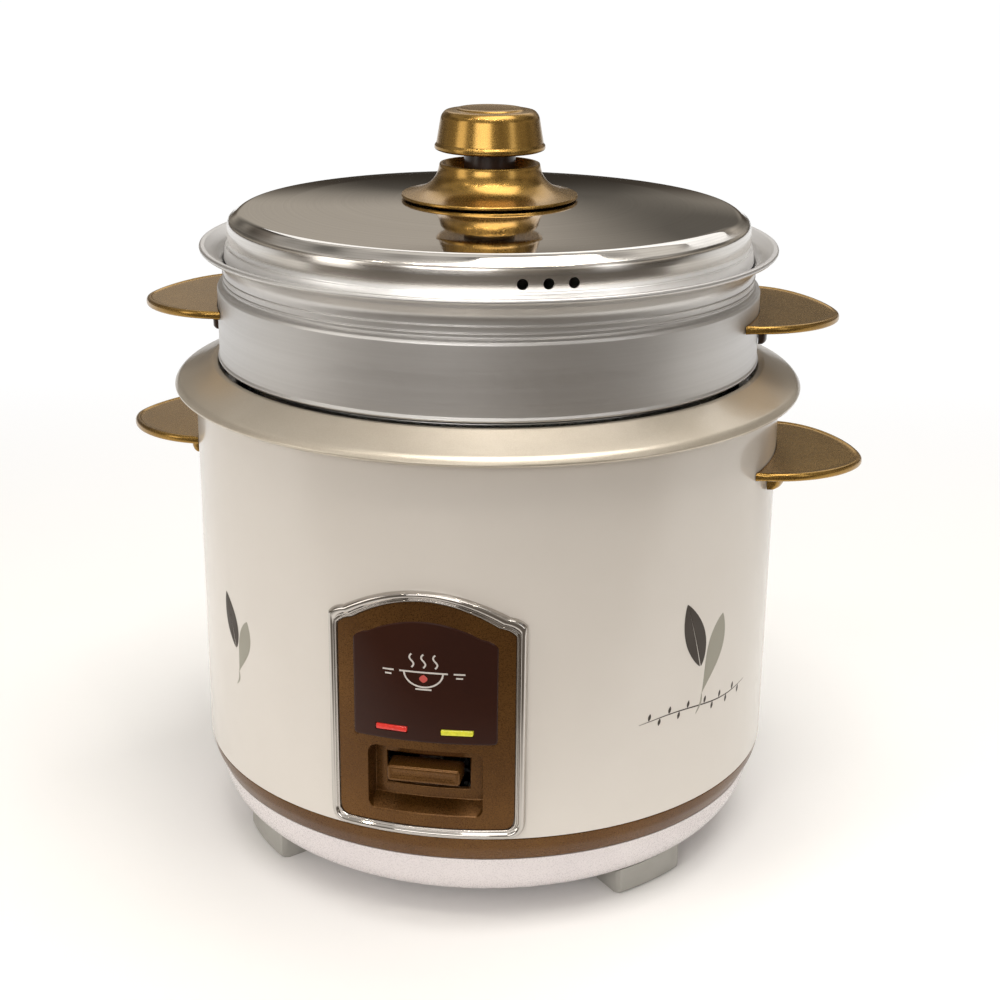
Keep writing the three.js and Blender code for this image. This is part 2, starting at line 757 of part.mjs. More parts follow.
const inletZ = shellBottom + inletRise;
const inletFace = shellRadius + inletProud;
const inletBack = shellRadius - 8.4; // floor of the socket

function powerInlet() {
  const halfX = inletWidth / 2;
  const halfZ = inletHeight / 2;
  const flange = block(-halfX, halfX, inletBack, inletFace, inletZ - halfZ, inletZ + halfZ);
  const drum = disc(shellRadius + gap, 0, shellTop, bigSteps);
  const neck = block(-15, 15, inletBack - 6, inletFace - 1, inletZ - 10, inletZ + 10);
  const cavity = block(-12.5, 12.5, inletBack, inletFace + 1, inletZ - 8, inletZ + 8);
  const pinHole = (x) => rod('y', pinRadius + 0.2, wallCutInner, wallCutOuter, [x, inletZ - 1], 10);
  const pinHoles = inletPins.map(pinHole);
  return part('power_inlet', cut(join(cut(flange, drum), neck), cavity, ...pinHoles), black);
}

const inletPins = [-6, 6];

function inletPinSet() {
  return inletPins.map((x, i) =>
    part(`inlet_pin_${i + 1}`, rod('y', pinRadius, inletBack - 13, inletFace - 3, [x, inletZ - 1], 10), brass),
  );
}

const blockY = 72;

function terminalBlock() {
  const base = plateTop + gap;
  const body = block(-24, 24, blockY - 8, blockY + 8, base, base + 18);
  const wells = [-16, 0, 16].map((x) => block(x - 5, x + 5, blockY - 5, blockY + 9, base + 6, base + 14));
  return part('terminal_block', cut(body, ...wells), pearl);
}

// ---------------------------------------------------------------- pot, steamer and lid

function innerPot() {
  const inner = potRadius - potWall;
  const outline = [
    [0, potBottom],
    [potRadius - potCorner, potBottom],
    ...arc(potRadius - potCorner, potBottom + potCorner, potCorner, -68, 0, 3),
    [potRadius, potTop - 1.5],
    [potRimRadius, potTop - 1.5],
    [potRimRadius, potTop],
    [inner, potTop],
    ...arc(potRadius - potCorner, potBottom + potCorner, potCorner - potWall, 0, -90, 3),
    [0, potBottom + potWall],
  ];
  return part('inner_pot', turned(outline), alloy);
}

// Rings of steam holes: a centre hole, then six more holes in each ring out.
function steamHoles() {
  const rings = [1, 2, 3];
  const centres = rings.flatMap((ring) =>
    Array.from({ length: ring * 6 }, (_, i) => {
      const angle = (i / (ring * 6)) * 2 * Math.PI;
      return [ring * steamHolePitch * Math.cos(angle), ring * steamHolePitch * Math.sin(angle)];
    }),
  );
  return [[0, 0], ...centres].map((at) => rod('z', steamHoleRadius, trayFloor - 2, trayFloor + 4, at, 6));
}

const rimOuter = curve(
  [neckRadius, neckTop], [neckRadius, neckTop + 4.5],
  [neckRadius + 4, neckTop + 7.4], [rimCentreRadius - 0.9, rimZ - rimBead],
  3,
);
const rimInner = rimOuter.map(([r, z]) => [r - steamerWall * 0.85, z + steamerWall * 0.75]).reverse();

function steamerTray() {
  const inner = trayRadius - steamerWall;
  const lower = trayLower - steamerWall;
  const outline = [
    [0, trayFloor],
    [trayLower - 8, trayFloor],
    ...arc(trayLower - 8, trayFloor + 8, 8, -60, 0, 2),
    [trayLower, traySeat],
    [trayRadius - 0.8, traySeat],
    [trayRadius + seatBead, traySeat + 1.2],
    [trayRadius, traySeat + 2.4],
    [trayRadius, trayLedge - 1.8],
    [trayRadius - 1, trayLedge - 0.4],
    [neckRadius, trayLedge + 0.2],
    ...rimOuter,
    ...arc(rimCentreRadius, rimZ, rimBead, -60, 180, 3),
    ...rimInner,
    [neckRadius - steamerWall, trayLedge - 1],
    [inner, trayLedge - 2.4],
    [inner, traySeat + steamerWall],
    [lower, traySeat + steamerWall],
    ...arc(trayLower - 8, trayFloor + 8, 8 - steamerWall, 0, -90, 2),
    [0, trayFloor + steamerWall],
  ];
  const rivetHoles = rivetAngles.map((a) => rivetRod(a, 2.3, trayRadius - 8, trayRadius + 8));
  return part('steamer_tray', cut(turned(outline), ...steamHoles(), ...rivetHoles), alloy);
}

const steamerGripTop = trayLedge - steamerGripDrop;
const rivetZ = steamerGripTop - 8;
const rivetAngles = [0, 180];
const rivetRod = (angle, radius, from, to) =>
  rod('x', radius, from, to, [0, rivetZ], 10).rotateZ(radians(angle));

function steamerFittings() {
  const rootReach = 6;
  const bracketTop = steamerGripTop - gripSheet - gap;
  const wallClear = disc(trayRadius + gap, traySeat, trayLedge, bigSteps);
  const beadClear = disc(trayRadius + seatBead + gap, traySeat, traySeat + 2.4 + gap, bigSteps);
  const tongue = grip(trayRadius, steamerGripReach, steamerGripHalfWidth, steamerGripTop, gripSheet, 10, 2);
  const strap = block(trayRadius - 10, trayRadius + rootReach, -13, 13, rivetZ - 7, bracketTop);
  const bracket = cut(strap, wallClear, beadClear, rivetRod(0, 2.3, trayRadius - 8, trayRadius + 12));
  const shank = rivetRod(0, 2, trayRadius - steamerWall - 1.4, trayRadius + rootReach + 0.4);
  const heads = [
    rivetRod(0, 3.6, trayRadius - steamerWall - 2.4, trayRadius - steamerWall - 1),
    rivetRod(0, 3.6, trayRadius + rootReach + 0.3, trayRadius + rootReach + 1.5),
  ];
  const rivet = join(shank, ...heads);
  return [
    part('steamer_handle_right', tongue, bronze),
    part('steamer_handle_left', mirrored(tongue), bronze),
    part('steamer_bracket_right', bracket, umber),
    part('steamer_bracket_left', mirrored(bracket), umber),
    part('steamer_rivet_right', rivet, steel),
    part('steamer_rivet_left', mirrored(rivet), steel),
  ];
}

function lidDome() {
  const crown = curve(
    [lidRadius - 1, lidShoulder], [lidRadius - 2.5, lidShoulder + 5],
    [lidRadius - 24, lidTop - 3.4], [knobBaseRadius, lidTop - 0.4],
  );
  const hem = lidRadius + 0.6;
  const outline = [
    [3, lidTop],
    ...crown.slice().reverse(),
    [lidRadius, lidHemTop + 1],
    [hem, lidHemTop],
    [neckRadius - 0.5, lidHemBottom],
    [neckRadius - 1.9, lidHemBottom],
    [hem - 1.4, lidHemTop],
    ...crown.map(([r, z]) => [r - lidWall * 0.8, z - lidWall * 0.8]),
    [3, lidTop - lidWall],
  ];
  const vents = [-1, 0, 1].map((i) => {
    const turn = ventAzimuth - steamerTurn - 90 + (i * ventSpacing * 180) / (Math.PI * lidRadius);
    return rod('x', ventRadius, lidRadius - 12, lidRadius + 8, [0, lidHemTop + 2.6], 10).rotateZ(radians(turn));
  });
  return part('lid_dome', cut(turned(outline), ...vents), steel);
}

function lidFittings() {
  const flangeBottom = lidTop + gap;
  const flangeTop = flangeBottom + knobBaseHeight;
  const capBottom = flangeTop + knobLift;
  const flare = curve(
    [knobBaseRadius, flangeBottom + 1.5],
    [knobBaseRadius - 9, flangeBottom + 3],
    [knobThroatRadius + 1, flangeBottom + 6],
    [knobThroatRadius, flangeTop],
    5,
  );
  const flange = turned([
    [13, flangeBottom],
    [knobBaseRadius, flangeBottom],
    ...flare,
    [knobThroatRadius - 2.5, flangeTop],
    [knobThroatRadius - 4, flangeBottom + 5],
    [13, flangeBottom + 3],
  ], midSteps);
  const neck = turned([
    [2.4, flangeBottom],
    [12.5, flangeBottom],
    [12.5, flangeBottom + 4],
    [knobNeckRadius, flangeBottom + 6],
    [knobNeckRadius, capBottom + 6],
    [2.4, capBottom + 6],
  ], 24);
  const cap = turned([
    [knobNeckRadius + gap, capBottom],
    [knobCapRadius - 1.5, capBottom],
    [knobCapRadius, capBottom + 1.4],
    [knobCapRadius - 0.5, capBottom + 5],
    [knobCapRadius - 3.1, capBottom + knobCapHeight - 3],
    [knobCapRadius - 5.6, capBottom + knobCapHeight - 0.8],
    [0, capBottom + knobCapHeight],
    [0, capBottom + 6 + gap],
    [knobNeckRadius + gap, capBottom + 6 + gap],
  ], midSteps);
  const washerTop = lidTop - lidWall - gap;
  const washer = tube(2.6, 9, washerTop - 1.2, washerTop, 20);
  const headTop = washerTop - 1.2 - gap;
  const headBottom = headTop - 2.4;
  const outline = [
    [0, headBottom], [4, headBottom], [4, headTop], [2, headTop], [2, capBottom], [0, capBottom],
  ];
  const screw = turned(outline, 12);
  return [
    part('knob_flange', flange, bronze),
    part('knob_neck', neck, umber),
    part('knob_cap', cap, bronze),
    part('lid_washer', washer, steel),
    part('knob_screw', screw, steel),
  ];
}

// ---------------------------------------------------------------- the cooker

const casing = assembly(
  basePan(),
  trimBand(),
  outerShell(),
  topRing(),
  innerLiner(),
  bottomPlate(),
  ...bottomScrewSet(),
  ...footSet(),
  ...bodyGrips(),
  ...gripScrewSet(),
);
const frontPanel = assembly(panelBezel(), panelFace(), panelWindow(), ...lampSet());
const heater = assembly(heatingPlate(), ...terminalSet(), ...strutSet(), thermostatHousing(), sensorSpring());
const mechanism = assembly(
  ...sensorSet(), ...magnetSet(), switchLever(), switchTab(), leverBracket(), leverPin(),
);
const electrics = assembly(
  microswitch(),
  powerInlet(),
  ...inletPinSet(),
  terminalBlock(),
);
const pot = assembly(innerPot());
const steamer = assembly(steamerTray(), ...steamerFittings());
steamer.rotation.z = radians(steamerTurn);
const lid = assembly(lidDome(), ...lidFittings());
lid.rotation.z = steamer.rotation.z;

const group = assembly(casing, frontPanel, heater, mechanism, electrics, pot, steamer, lid);

export default group;
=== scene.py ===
"""Electric rice cooker with a steamer tray and a steel lid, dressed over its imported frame.

Lengths are in millimetres until a mesh is made. Heights and radii are read from the frame's own boxes,
the cooker's axis is x = y = 0, the floor is z = 0 and the switch panel faces -Y.
"""

from __future__ import annotations

import json
import logging
import math
from dataclasses import dataclass, field
from enum import Enum
from typing import Callable, Sequence

import bmesh
import bpy
import numpy as np
from mathutils import Matrix, Vector

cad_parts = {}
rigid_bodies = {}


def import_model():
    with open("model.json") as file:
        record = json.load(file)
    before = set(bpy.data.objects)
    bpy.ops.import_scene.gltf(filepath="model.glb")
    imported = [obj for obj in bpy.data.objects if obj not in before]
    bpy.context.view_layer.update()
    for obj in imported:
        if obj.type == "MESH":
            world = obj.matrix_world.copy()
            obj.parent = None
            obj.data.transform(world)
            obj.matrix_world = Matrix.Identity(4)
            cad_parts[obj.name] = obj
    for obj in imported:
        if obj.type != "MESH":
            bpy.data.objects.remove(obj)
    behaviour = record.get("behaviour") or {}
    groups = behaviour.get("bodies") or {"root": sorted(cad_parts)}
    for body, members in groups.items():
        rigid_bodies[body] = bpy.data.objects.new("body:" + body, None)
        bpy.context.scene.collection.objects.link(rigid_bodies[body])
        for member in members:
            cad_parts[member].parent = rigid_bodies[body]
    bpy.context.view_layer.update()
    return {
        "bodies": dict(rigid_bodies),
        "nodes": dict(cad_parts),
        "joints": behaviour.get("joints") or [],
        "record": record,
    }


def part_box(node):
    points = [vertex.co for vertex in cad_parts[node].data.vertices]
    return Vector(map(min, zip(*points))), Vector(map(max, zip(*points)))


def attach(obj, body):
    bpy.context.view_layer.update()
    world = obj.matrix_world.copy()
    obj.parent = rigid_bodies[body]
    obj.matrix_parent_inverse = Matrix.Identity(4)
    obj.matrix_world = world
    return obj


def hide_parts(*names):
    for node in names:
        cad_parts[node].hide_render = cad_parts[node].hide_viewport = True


LOG = logging.getLogger("rice_cooker")

MM = 0.001
SHARP_ANGLE = math.radians(34)
MERGE_DISTANCE = 1e-7
DRUM_SEGMENTS = 240
HOLE_SIDES = 24
CUTTER_DEPTH = 8 * MM
PRINT_THICKNESS = 0.07
FIT = 0.3

Corner = tuple[float, float, float]
Spot = tuple[float, float]
Flat = Sequence[Spot]
Piece = bpy.types.Object
Socket = bpy.types.NodeSocket
Inputs = dict["str | int", object]


# ---------------------------------------------------------------- mesh making


def place_mesh(name: str, mesh: bpy.types.Mesh) -> Piece:
    """Link a mesh to the scene as an object at the origin."""
    piece = bpy.data.objects.new(name, mesh)
    bpy.context.scene.collection.objects.link(piece)
    return piece


def shade(mesh: bpy.types.Mesh) -> None:
    """Shade a mesh smooth up to the sharp angle."""
    mesh.shade_smooth()
    mesh.set_sharp_from_angle(angle=SHARP_ANGLE)


def make_object(name: str, vertices: np.ndarray, faces: Sequence[Sequence[int]]) -> Piece:
    """Make a closed, smooth-shaded mesh object at the origin.

    Args:
        name: The piece's name.
        vertices: Points in millimetres, one row each.
        faces: Vertex numbers of each face, in any winding.

    Returns:
        The linked object, with its faces pointing out.
    """
    mesh = bpy.data.meshes.new(name)
    mesh.from_pydata((np.asarray(vertices, float) * MM).tolist(), [], [list(face) for face in faces])
    tidy_mesh(mesh)
    return place_mesh(name, mesh)


def tidy_mesh(mesh: bpy.types.Mesh) -> None:
    """Merge doubled points, drop loose ones, point the faces out and shade smooth up to the sharp angle."""
    work = bmesh.new()
    work.from_mesh(mesh)
    bmesh.ops.remove_doubles(work, verts=work.verts, dist=MERGE_DISTANCE)
    loose = [vertex for vertex in work.verts if not vertex.link_faces]
    bmesh.ops.delete(work, geom=loose, context="VERTS")
    bmesh.ops.recalc_face_normals(work, faces=work.faces)
    work.to_mesh(mesh)
    work.free()
    shade(mesh)


def rounded(corners: Sequence[Corner], closed: bool = False, step: float = 11.0) -> list[Spot]:
    """Turn an outline with a fillet radius at each corner into points.

    Args:
        corners: First coordinate, second coordinate and fillet radius of each corner.
        closed: Whether the outline runs back to its first corner.
        step: Largest turn between two points of a fillet, in degrees.

    Returns:
        The outline's points.
    """
    points: list[Spot] = []
    count = len(corners)
    for i, (x, y, radius) in enumerate(corners):
        here = np.array((x, y))
        at_end = not closed and i in (0, count - 1)
        if radius <= 0 or at_end:
            points.append((x, y))
            continue
        before = np.array(corners[i - 1][:2]) - here
        after = np.array(corners[(i + 1) % count][:2]) - here
        before_length = np.linalg.norm(before)
        after_length = np.linalg.norm(after)
        before_unit = before / before_length
        after_unit = after / after_length
        angle = math.acos(float(np.clip(before_unit @ after_unit, -1, 1)))
        if math.pi - angle < 0.02:
            points.append((x, y))
            continue
        reach = min(radius / math.tan(angle / 2), 0.48 * before_length, 0.48 * after_length)
        fillet = reach * math.tan(angle / 2)
        middle = (before_unit + after_unit) / np.linalg.norm(before_unit + after_unit)
        centre = here + middle * fillet / math.sin(angle / 2)
        start = here + before_unit * reach - centre
        end = here + after_unit * reach - centre
        side = math.copysign(1.0, start[0] * end[1] - start[1] * end[0])
        steps = max(2, math.ceil(math.degrees(math.pi - angle) / step))
        for k in range(steps + 1):
            turn = side * (math.pi - angle) * k / steps
            cosine, sine = math.cos(turn), math.sin(turn)
            spot = centre + (start[0] * cosine - start[1] * sine, start[0] * sine + start[1] * cosine)
            points.append((float(spot[0]), float(spot[1])))
    return points


def bezier(a: Flat, steps: int = 16) -> list[Spot]:
    """Points on the cubic curve with these four control points."""
    start, control_1, control_2, end = (np.array(point, float) for point in a)
    points = []
    for i in range(steps + 1):
        t = i / steps
        s = 1 - t
        spot = s**3 * start + 3 * s * s * t * control_1 + 3 * s * t * t * control_2 + t**3 * end
        points.append((float(spot[0]), float(spot[1])))
    return points


def offset_outline(points: Flat, by: float) -> list[Spot]:
    """Move an open outline sideways, to the left of its direction, by a distance."""
    line = np.array(points, float)
    along = np.gradient(line, axis=0)
    along /= np.linalg.norm(along, axis=1)[:, None]
    moved = line + np.stack([-along[:, 1], along[:, 0]], axis=1) * by
    return [(float(x), float(y)) for x, y in moved]


def walled(
    name: str, outer: np.ndarray, inner: np.ndarray, solid: np.ndarray | None = None, wrap: bool = False,
) -> Piece:
    """Join two matching grids of points into one closed sheet, with walls round every opening.

    Args:
        name: The piece's name.
        outer: Outer points, as columns by rows by three.
        inner: Inner points, matched to the outer ones.
        solid: Which cells of the grid hold material.
        wrap: Whether the last column joins the first.

    Returns:
        The sheet.
    """
    columns, rows = outer.shape[:2]
    spans = columns if wrap else columns - 1
    if solid is None:
        solid = np.ones((spans, rows - 1), bool)
    back = columns * rows
    faces: list[tuple[int, ...]] = []

    def filled(column: int, row: int) -> bool:
        """Whether a cell exists and holds material."""
        if wrap:
            column %= spans
        return 0 <= column < spans and 0 <= row < rows - 1 and bool(solid[column, row])

    for column in range(spans):
        following = (column + 1) % columns
        for row in range(rows - 1):
            if not solid[column, row]:
                continue
            a = column * rows + row
            b = following * rows + row
            c = b + 1
            d = a + 1
            faces.append((a, b, c, d))
            faces.append((back + d, back + c, back + b, back + a))
            edges = (
                (a, d, column - 1, row), (c, b, column + 1, row), (b, a, column, row - 1),
                (d, c, column, row + 1),
            )
            for start, end, next_column, next_row in edges:
                if not filled(next_column, next_row):
                    faces.append((start, end, back + end, back + start))
    vertices = np.concatenate([outer.reshape(-1, 3), inner.reshape(-1, 3)])
    return make_object(name, vertices, faces)


def lathe(name: str, outline: Flat, segments: int = DRUM_SEGMENTS) -> Piece:
    """Turn a radius and height outline about the Z axis.

    Args:
        name: The piece's name.
        outline: Points that start and end on the axis, or else close on themselves.
        segments: Number of facets round the axis.

    Returns:
        The turned piece.
    """
    points = np.array(outline, float)
    on_axis = abs(points[0, 0]) < 1e-6 and abs(points[-1, 0]) < 1e-6
    angles = np.linspace(0, 2 * math.pi, segments, endpoint=False)
    ring = np.stack([np.cos(angles), np.sin(angles)], axis=1)
    flat = points[None, :, 0, None] * ring[:, None, :]
    heights = np.broadcast_to(points[None, :, 1, None], flat.shape[:2] + (1,))
    vertices = np.concatenate([flat, heights], axis=2).reshape(-1, 3)
    rows = len(points)
    spans = rows - 1 if on_axis else rows
    faces = []
    for column in range(segments):
        here = column * rows
        there = ((column + 1) % segments) * rows
        for row in range(spans):
            following = (row + 1) % rows
            faces.append((here + row, there + row, there + following, here + following))
    return make_object(name, vertices, faces)


def loft(name: str, loops: Sequence[np.ndarray], closed: bool = False) -> Piece:
    """Join loops of equally many points, with a flat cap at each end unless the last joins the first."""
    count = len(loops[0])
    spans = len(loops) if closed else len(loops) - 1
    faces: list[tuple[int, ...]] = []
    for level in range(spans):
        here = level * count
        there = ((level + 1) % len(loops)) * count
        for i in range(count):
            j = (i + 1) % count
            faces.append((here + i, here + j, there + j, there + i))
    if not closed:
        faces.append(tuple(range(count)))
        faces.append(tuple((len(loops) - 1) * count + i for i in range(count)))
    return make_object(name, np.concatenate(loops), faces)


def merge_into(name: str, *pieces: Piece) -> Piece:
    """Put several meshes into one object under a new name."""
    work = bmesh.new()
    for piece in pieces:
        work.from_mesh(piece.data)
        bpy.data.objects.remove(piece)
    mesh = bpy.data.meshes.new(name)
    work.to_mesh(mesh)
    work.free()
    shade(mesh)
    return place_mesh(name, mesh)


def turned_copy(piece: Piece, name: str, degrees: float) -> Piece:
    """A copy of a piece, turned about the cooker's axis in its mesh."""
    copy = place_mesh(name, piece.data.copy())
    copy.data.name = name
    return turn_mesh(copy, degrees)


def turn_mesh(piece: Piece, degrees: float) -> Piece:
    """Turn a piece's own mesh about the cooker's axis."""
    piece.data.transform(Matrix.Rotation(math.radians(degrees), 4, "Z"))
    return piece


def on_front(x: np.ndarray, z: np.ndarray, radius: np.ndarray | float) -> np.ndarray:
    """Points at x and z on the front of a drum of some radius."""
    x, z, radius = np.broadcast_arrays(np.asarray(x, float), np.asarray(z, float), np.asarray(radius, float))
    return np.stack([x, -np.sqrt(radius**2 - x**2), z], axis=-1)


def round_drum(along: np.ndarray, z: np.ndarray, radius: float, wrap_radius: float) -> np.ndarray:
    """Points at a length along the drum from its front line, measured on wrap_radius."""
    angle = np.asarray(along, float) / wrap_radius
    along, z = np.broadcast_arrays(angle, np.asarray(z, float))
    return np.stack([radius * np.sin(along), -radius * np.cos(along), z], axis=-1)


def lines(*stretches: tuple[float, float, float]) -> np.ndarray:
    """Sorted grid lines over several stretches, each given as its start, end and largest step."""
    found: list[float] = []
    for start, end, step in stretches:
        count = max(1, math.ceil((end - start) / step - 1e-9))
        found.extend(np.linspace(start, end, count + 1))
    return np.unique(np.round(found, 5))


def graded(*stops: float) -> np.ndarray:
    """Grid lines from the first value to the last, with the largest step between each two values."""
    return lines(*((stops[i], stops[i + 2], stops[i + 1]) for i in range(0, len(stops) - 2, 2)))


def quarter(radius: float, steps: int) -> list[Spot]:
    """How far in and how far down each point of a quarter round lies, from its side to its top."""
    turns = [math.pi / 2 * i / steps for i in range(steps + 1)]
    return [(radius * (1 - math.cos(turn)), radius * (1 - math.sin(turn))) for turn in turns]


def rectangle(half_x: float, half_z: float, corner: float, step: float) -> np.ndarray:
    """The points of a rounded rectangle about the origin."""
    signs = ((1, 1), (-1, 1), (-1, -1), (1, -1))
    return np.array(rounded([(x * half_x, z * half_z, corner) for x, z in signs], closed=True, step=step))


def ramp(t: np.ndarray, ease: float = 0.16) -> np.ndarray:
    """A straight ramp from 0 to 1 whose two ends are eased into the flat."""
    t = np.clip(t, 0, 1)
    slope = 1 / (1 - ease)
    low = slope * t**2 / (2 * ease)
    high = 1 - slope * (1 - t) ** 2 / (2 * ease)
    middle = slope * (t - ease / 2)
    return np.where(t < ease, low, np.where(t > 1 - ease, high, middle))


# ---------------------------------------------------------------- finishes


def wire(tree: bpy.types.NodeTree, kind: str, inputs: Inputs, **settings: object) -> bpy.types.Node:
    """Add a node to a tree.

    Args:
        tree: The tree it goes in.
        kind: The node's type.
        inputs: A value or another node's output for each input, by its name or number.
        settings: The node's own properties.

    Returns:
        The node.
    """
    node = tree.nodes.new(kind)
    for name, value in settings.items():
        setattr(node, name, value)
    for name, value in inputs.items():
        if isinstance(value, Socket):
            tree.links.new(value, node.inputs[name])
        else:
            node.inputs[name].default_value = value
    return node


def span(value: Socket, low: float, high: float, start: float, end: float) -> Inputs:
    """The inputs of a Map Range node that takes start to end onto low to high."""
    return {"Value": value, "From Min": start, "From Max": end, "To Min": low, "To Max": high}


class Shader:
    """A material under construction, with short calls for the nodes that the finishes share."""

    def __init__(self, name: str) -> None:
        """Start a material that holds one Principled BSDF."""
        self.material = bpy.data.materials.new(name)
        self.material.use_nodes = True
        self.tree = self.material.node_tree
        self.surface = self.tree.nodes["Principled BSDF"]
        self.place = wire(self.tree, "ShaderNodeTexCoord", {}).outputs["Object"]

    def set(self, **values: object) -> None:
        """Set sockets on the surface shader, with _ for a space in their names."""
        for name, value in values.items():
            self.surface.inputs[name.replace("_", " ")].default_value = value

    def link(self, output: Socket, socket: str) -> None:
        """Join an output to a socket of the surface shader."""
        self.tree.links.new(output, self.surface.inputs[socket])

    def math(self, kind: str, a: object, b: object = 0.0) -> Socket:
        """The output of a Math node whose inputs are outputs or numbers."""
        return wire(self.tree, "ShaderNodeMath", {0: a, 1: b}, operation=kind).outputs[0]

    def mix(self, first: Socket, share: float, second: Socket, rest: float) -> Socket:
        """The sum of two values, each times its own weight."""
        return self.math("ADD", self.math("MULTIPLY", first, share), self.math("MULTIPLY", second, rest))

    def split(self) -> tuple[Socket, Socket, Socket]:
        """The three object coordinates, in metres."""
        node = wire(self.tree, "ShaderNodeSeparateXYZ", {0: self.place})
        return node.outputs[0], node.outputs[1], node.outputs[2]

    def spun(self, lines_per_metre: float) -> Socket:
        """Coordinates that change only with radius and height, as lathe marks do."""
        x, y, z = self.split()
        squares = self.math("ADD", self.math("MULTIPLY", x, x), self.math("MULTIPLY", y, y))
        radius = self.math("SQRT", squares)
        across, up = (self.math("MULTIPLY", value, lines_per_metre) for value in (radius, z))
        return wire(self.tree, "ShaderNodeCombineXYZ", {0: across, 1: up}).outputs[0]

    def noise(self, scale: float, detail: float = 2.0, vector: Socket | None = None) -> Socket:
        """The value of a noise texture on the object's coordinates or on some others."""
        inputs = {"Vector": vector or self.place, "Scale": scale, "Detail": detail}
        return wire(self.tree, "ShaderNodeTexNoise", inputs).outputs["Fac"]

    def flakes(self, scale: float) -> Socket:
        """A random value for each flake of a metallic paint."""
        cells = wire(self.tree, "ShaderNodeTexVoronoi", {"Vector": self.place, "Scale": scale})
        return wire(self.tree, "ShaderNodeSeparateColor", {0: cells.outputs["Color"]}).outputs[0]

    def spread(self, value: Socket, low: float, high: float, start: float = 0.3, end: float = 0.7) -> Socket:
        """Map a value that runs from start to end onto low to high."""
        return wire(self.tree, "ShaderNodeMapRange", span(value, low, high, start, end)).outputs["Result"]

    def blend(self, factor: Socket, first: object, second: object) -> Socket:
        """Mix two colours, each an output or three numbers."""
        node = wire(self.tree, "ShaderNodeMix", {"Factor": factor}, data_type="RGBA")
        colours = [socket for socket in node.inputs if socket.type == "RGBA"]
        for socket, value in zip(colours, (first, second)):
            if isinstance(value, Socket):
                self.tree.links.new(value, socket)
            else:
                socket.default_value = (*value, 1.0)
        return next(socket for socket in node.outputs if socket.type == "RGBA")

    def tint(self, value: Socket, first: object, second: object) -> None:
        """Colour the surface from one colour to another as a value rises."""
        self.link(self.blend(self.spread(value, 0.0, 1.0), first, second), "Base Color")

    def roughen(self, value: Socket, low: float, high: float, start: float = 0.3, end: float = 0.7) -> None:
        """Set the roughness from low to high as a value rises from start to end."""
        self.link(self.spread(value, low, high, start, end), "Roughness")

    def bump(self, height: Socket, strength: float, depth: float) -> None:
        """Raise the surface by a height, whose full depth is in millimetres."""
        inputs = {"Strength": strength, "Distance": depth * MM, "Height": height}
        self.link(wire(self.tree, "ShaderNodeBump", inputs).outputs["Normal"], "Normal")

    def round_tangent(self) -> None:
        """Let the highlight stretch across marks that run round the Z axis."""
        node = wire(self.tree, "ShaderNodeTangent", {}, direction_type="RADIAL")
        node.axis = "Z"
        self.link(node.outputs["Tangent"], "Tangent")


Rgb = tuple[float, float, float]


@dataclass(frozen=True)
class Gloss:
    """A glossy lacquer, enamel or moulding with a faint mottle and a slight ripple."""

    name: str
    colour: Rgb
    shade: Rgb
    roughness: float = 0.18
    ripple: float = 0.012
    ripple_scale: float = 140.0
    coat: float = 0.5
    metallic: float = 0.0
    specular: float = 0.5

    def material(self) -> bpy.types.Material:
        """Build the finish."""
        shader = Shader(self.name)
        shader.tint(shader.noise(22.0, 4.0), self.colour, self.shade)
        shader.roughen(shader.noise(60.0, 3.0), self.roughness * 0.85, self.roughness * 1.2)
        shader.set(Metallic=self.metallic, Coat_Weight=self.coat, Coat_Roughness=0.05)
        shader.set(Specular_IOR_Level=self.specular)
        shader.bump(shader.noise(self.ripple_scale, 3.0), 0.6, self.ripple)
        return shader.material


@dataclass(frozen=True)
class FlakePaint:
    """A metallic paint with flakes that differ in brightness, under a thin clear coat."""

    name: str
    colour: Rgb
    deep: Rgb
    metallic: float = 0.75
    roughness: float = 0.3
    flake_scale: float = 2600.0
    flake_depth: float = 0.006
    coat: float = 0.35
    coat_roughness: float = 0.12

    def material(self) -> bpy.types.Material:
        """Build the finish."""
        shader = Shader(self.name)
        flakes = shader.flakes(self.flake_scale)
        shader.tint(shader.mix(flakes, 0.3, shader.noise(30.0, 3.0), 0.7), self.deep, self.colour)
        shader.roughen(flakes, self.roughness * 0.8, self.roughness * 1.25, 0.0, 1.0)
        shader.set(Metallic=self.metallic, Coat_Weight=self.coat, Coat_Roughness=self.coat_roughness)
        shader.bump(flakes, 0.35, self.flake_depth)
        return shader.material


@dataclass(frozen=True)
class SpunMetal:
    """Sheet metal spun on a lathe, with fine round lines and a stretched highlight."""

    name: str
    colour: Rgb
    streak: Rgb
    roughness: float = 0.34
    roughness_range: float = 0.1
    lines_per_metre: float = 900.0
    depth: float = 0.008
    stretch: float = 0.45

    def material(self) -> bpy.types.Material:
        """Build the finish."""
        shader = Shader(self.name)
        fine = shader.noise(1.0, 6.0, shader.spun(self.lines_per_metre))
        broad = shader.noise(1.0, 2.0, shader.spun(self.lines_per_metre * 0.12))
        grain = shader.noise(420.0, 4.0)
        tone = shader.mix(fine, 0.6, broad, 0.4)
        shader.tint(tone, self.colour, self.streak)
        rough = shader.math("ADD", tone, shader.math("MULTIPLY", grain, 0.35))
        least, most = self.roughness - self.roughness_range, self.roughness + self.roughness_range
        shader.roughen(rough, least, most, 0.4, 0.9)
        shader.set(Metallic=1.0, Anisotropic=self.stretch)
        shader.round_tangent()
        shader.bump(shader.math("ADD", fine, shader.math("MULTIPLY", grain, 0.25)), 0.4, self.depth)
        return shader.material


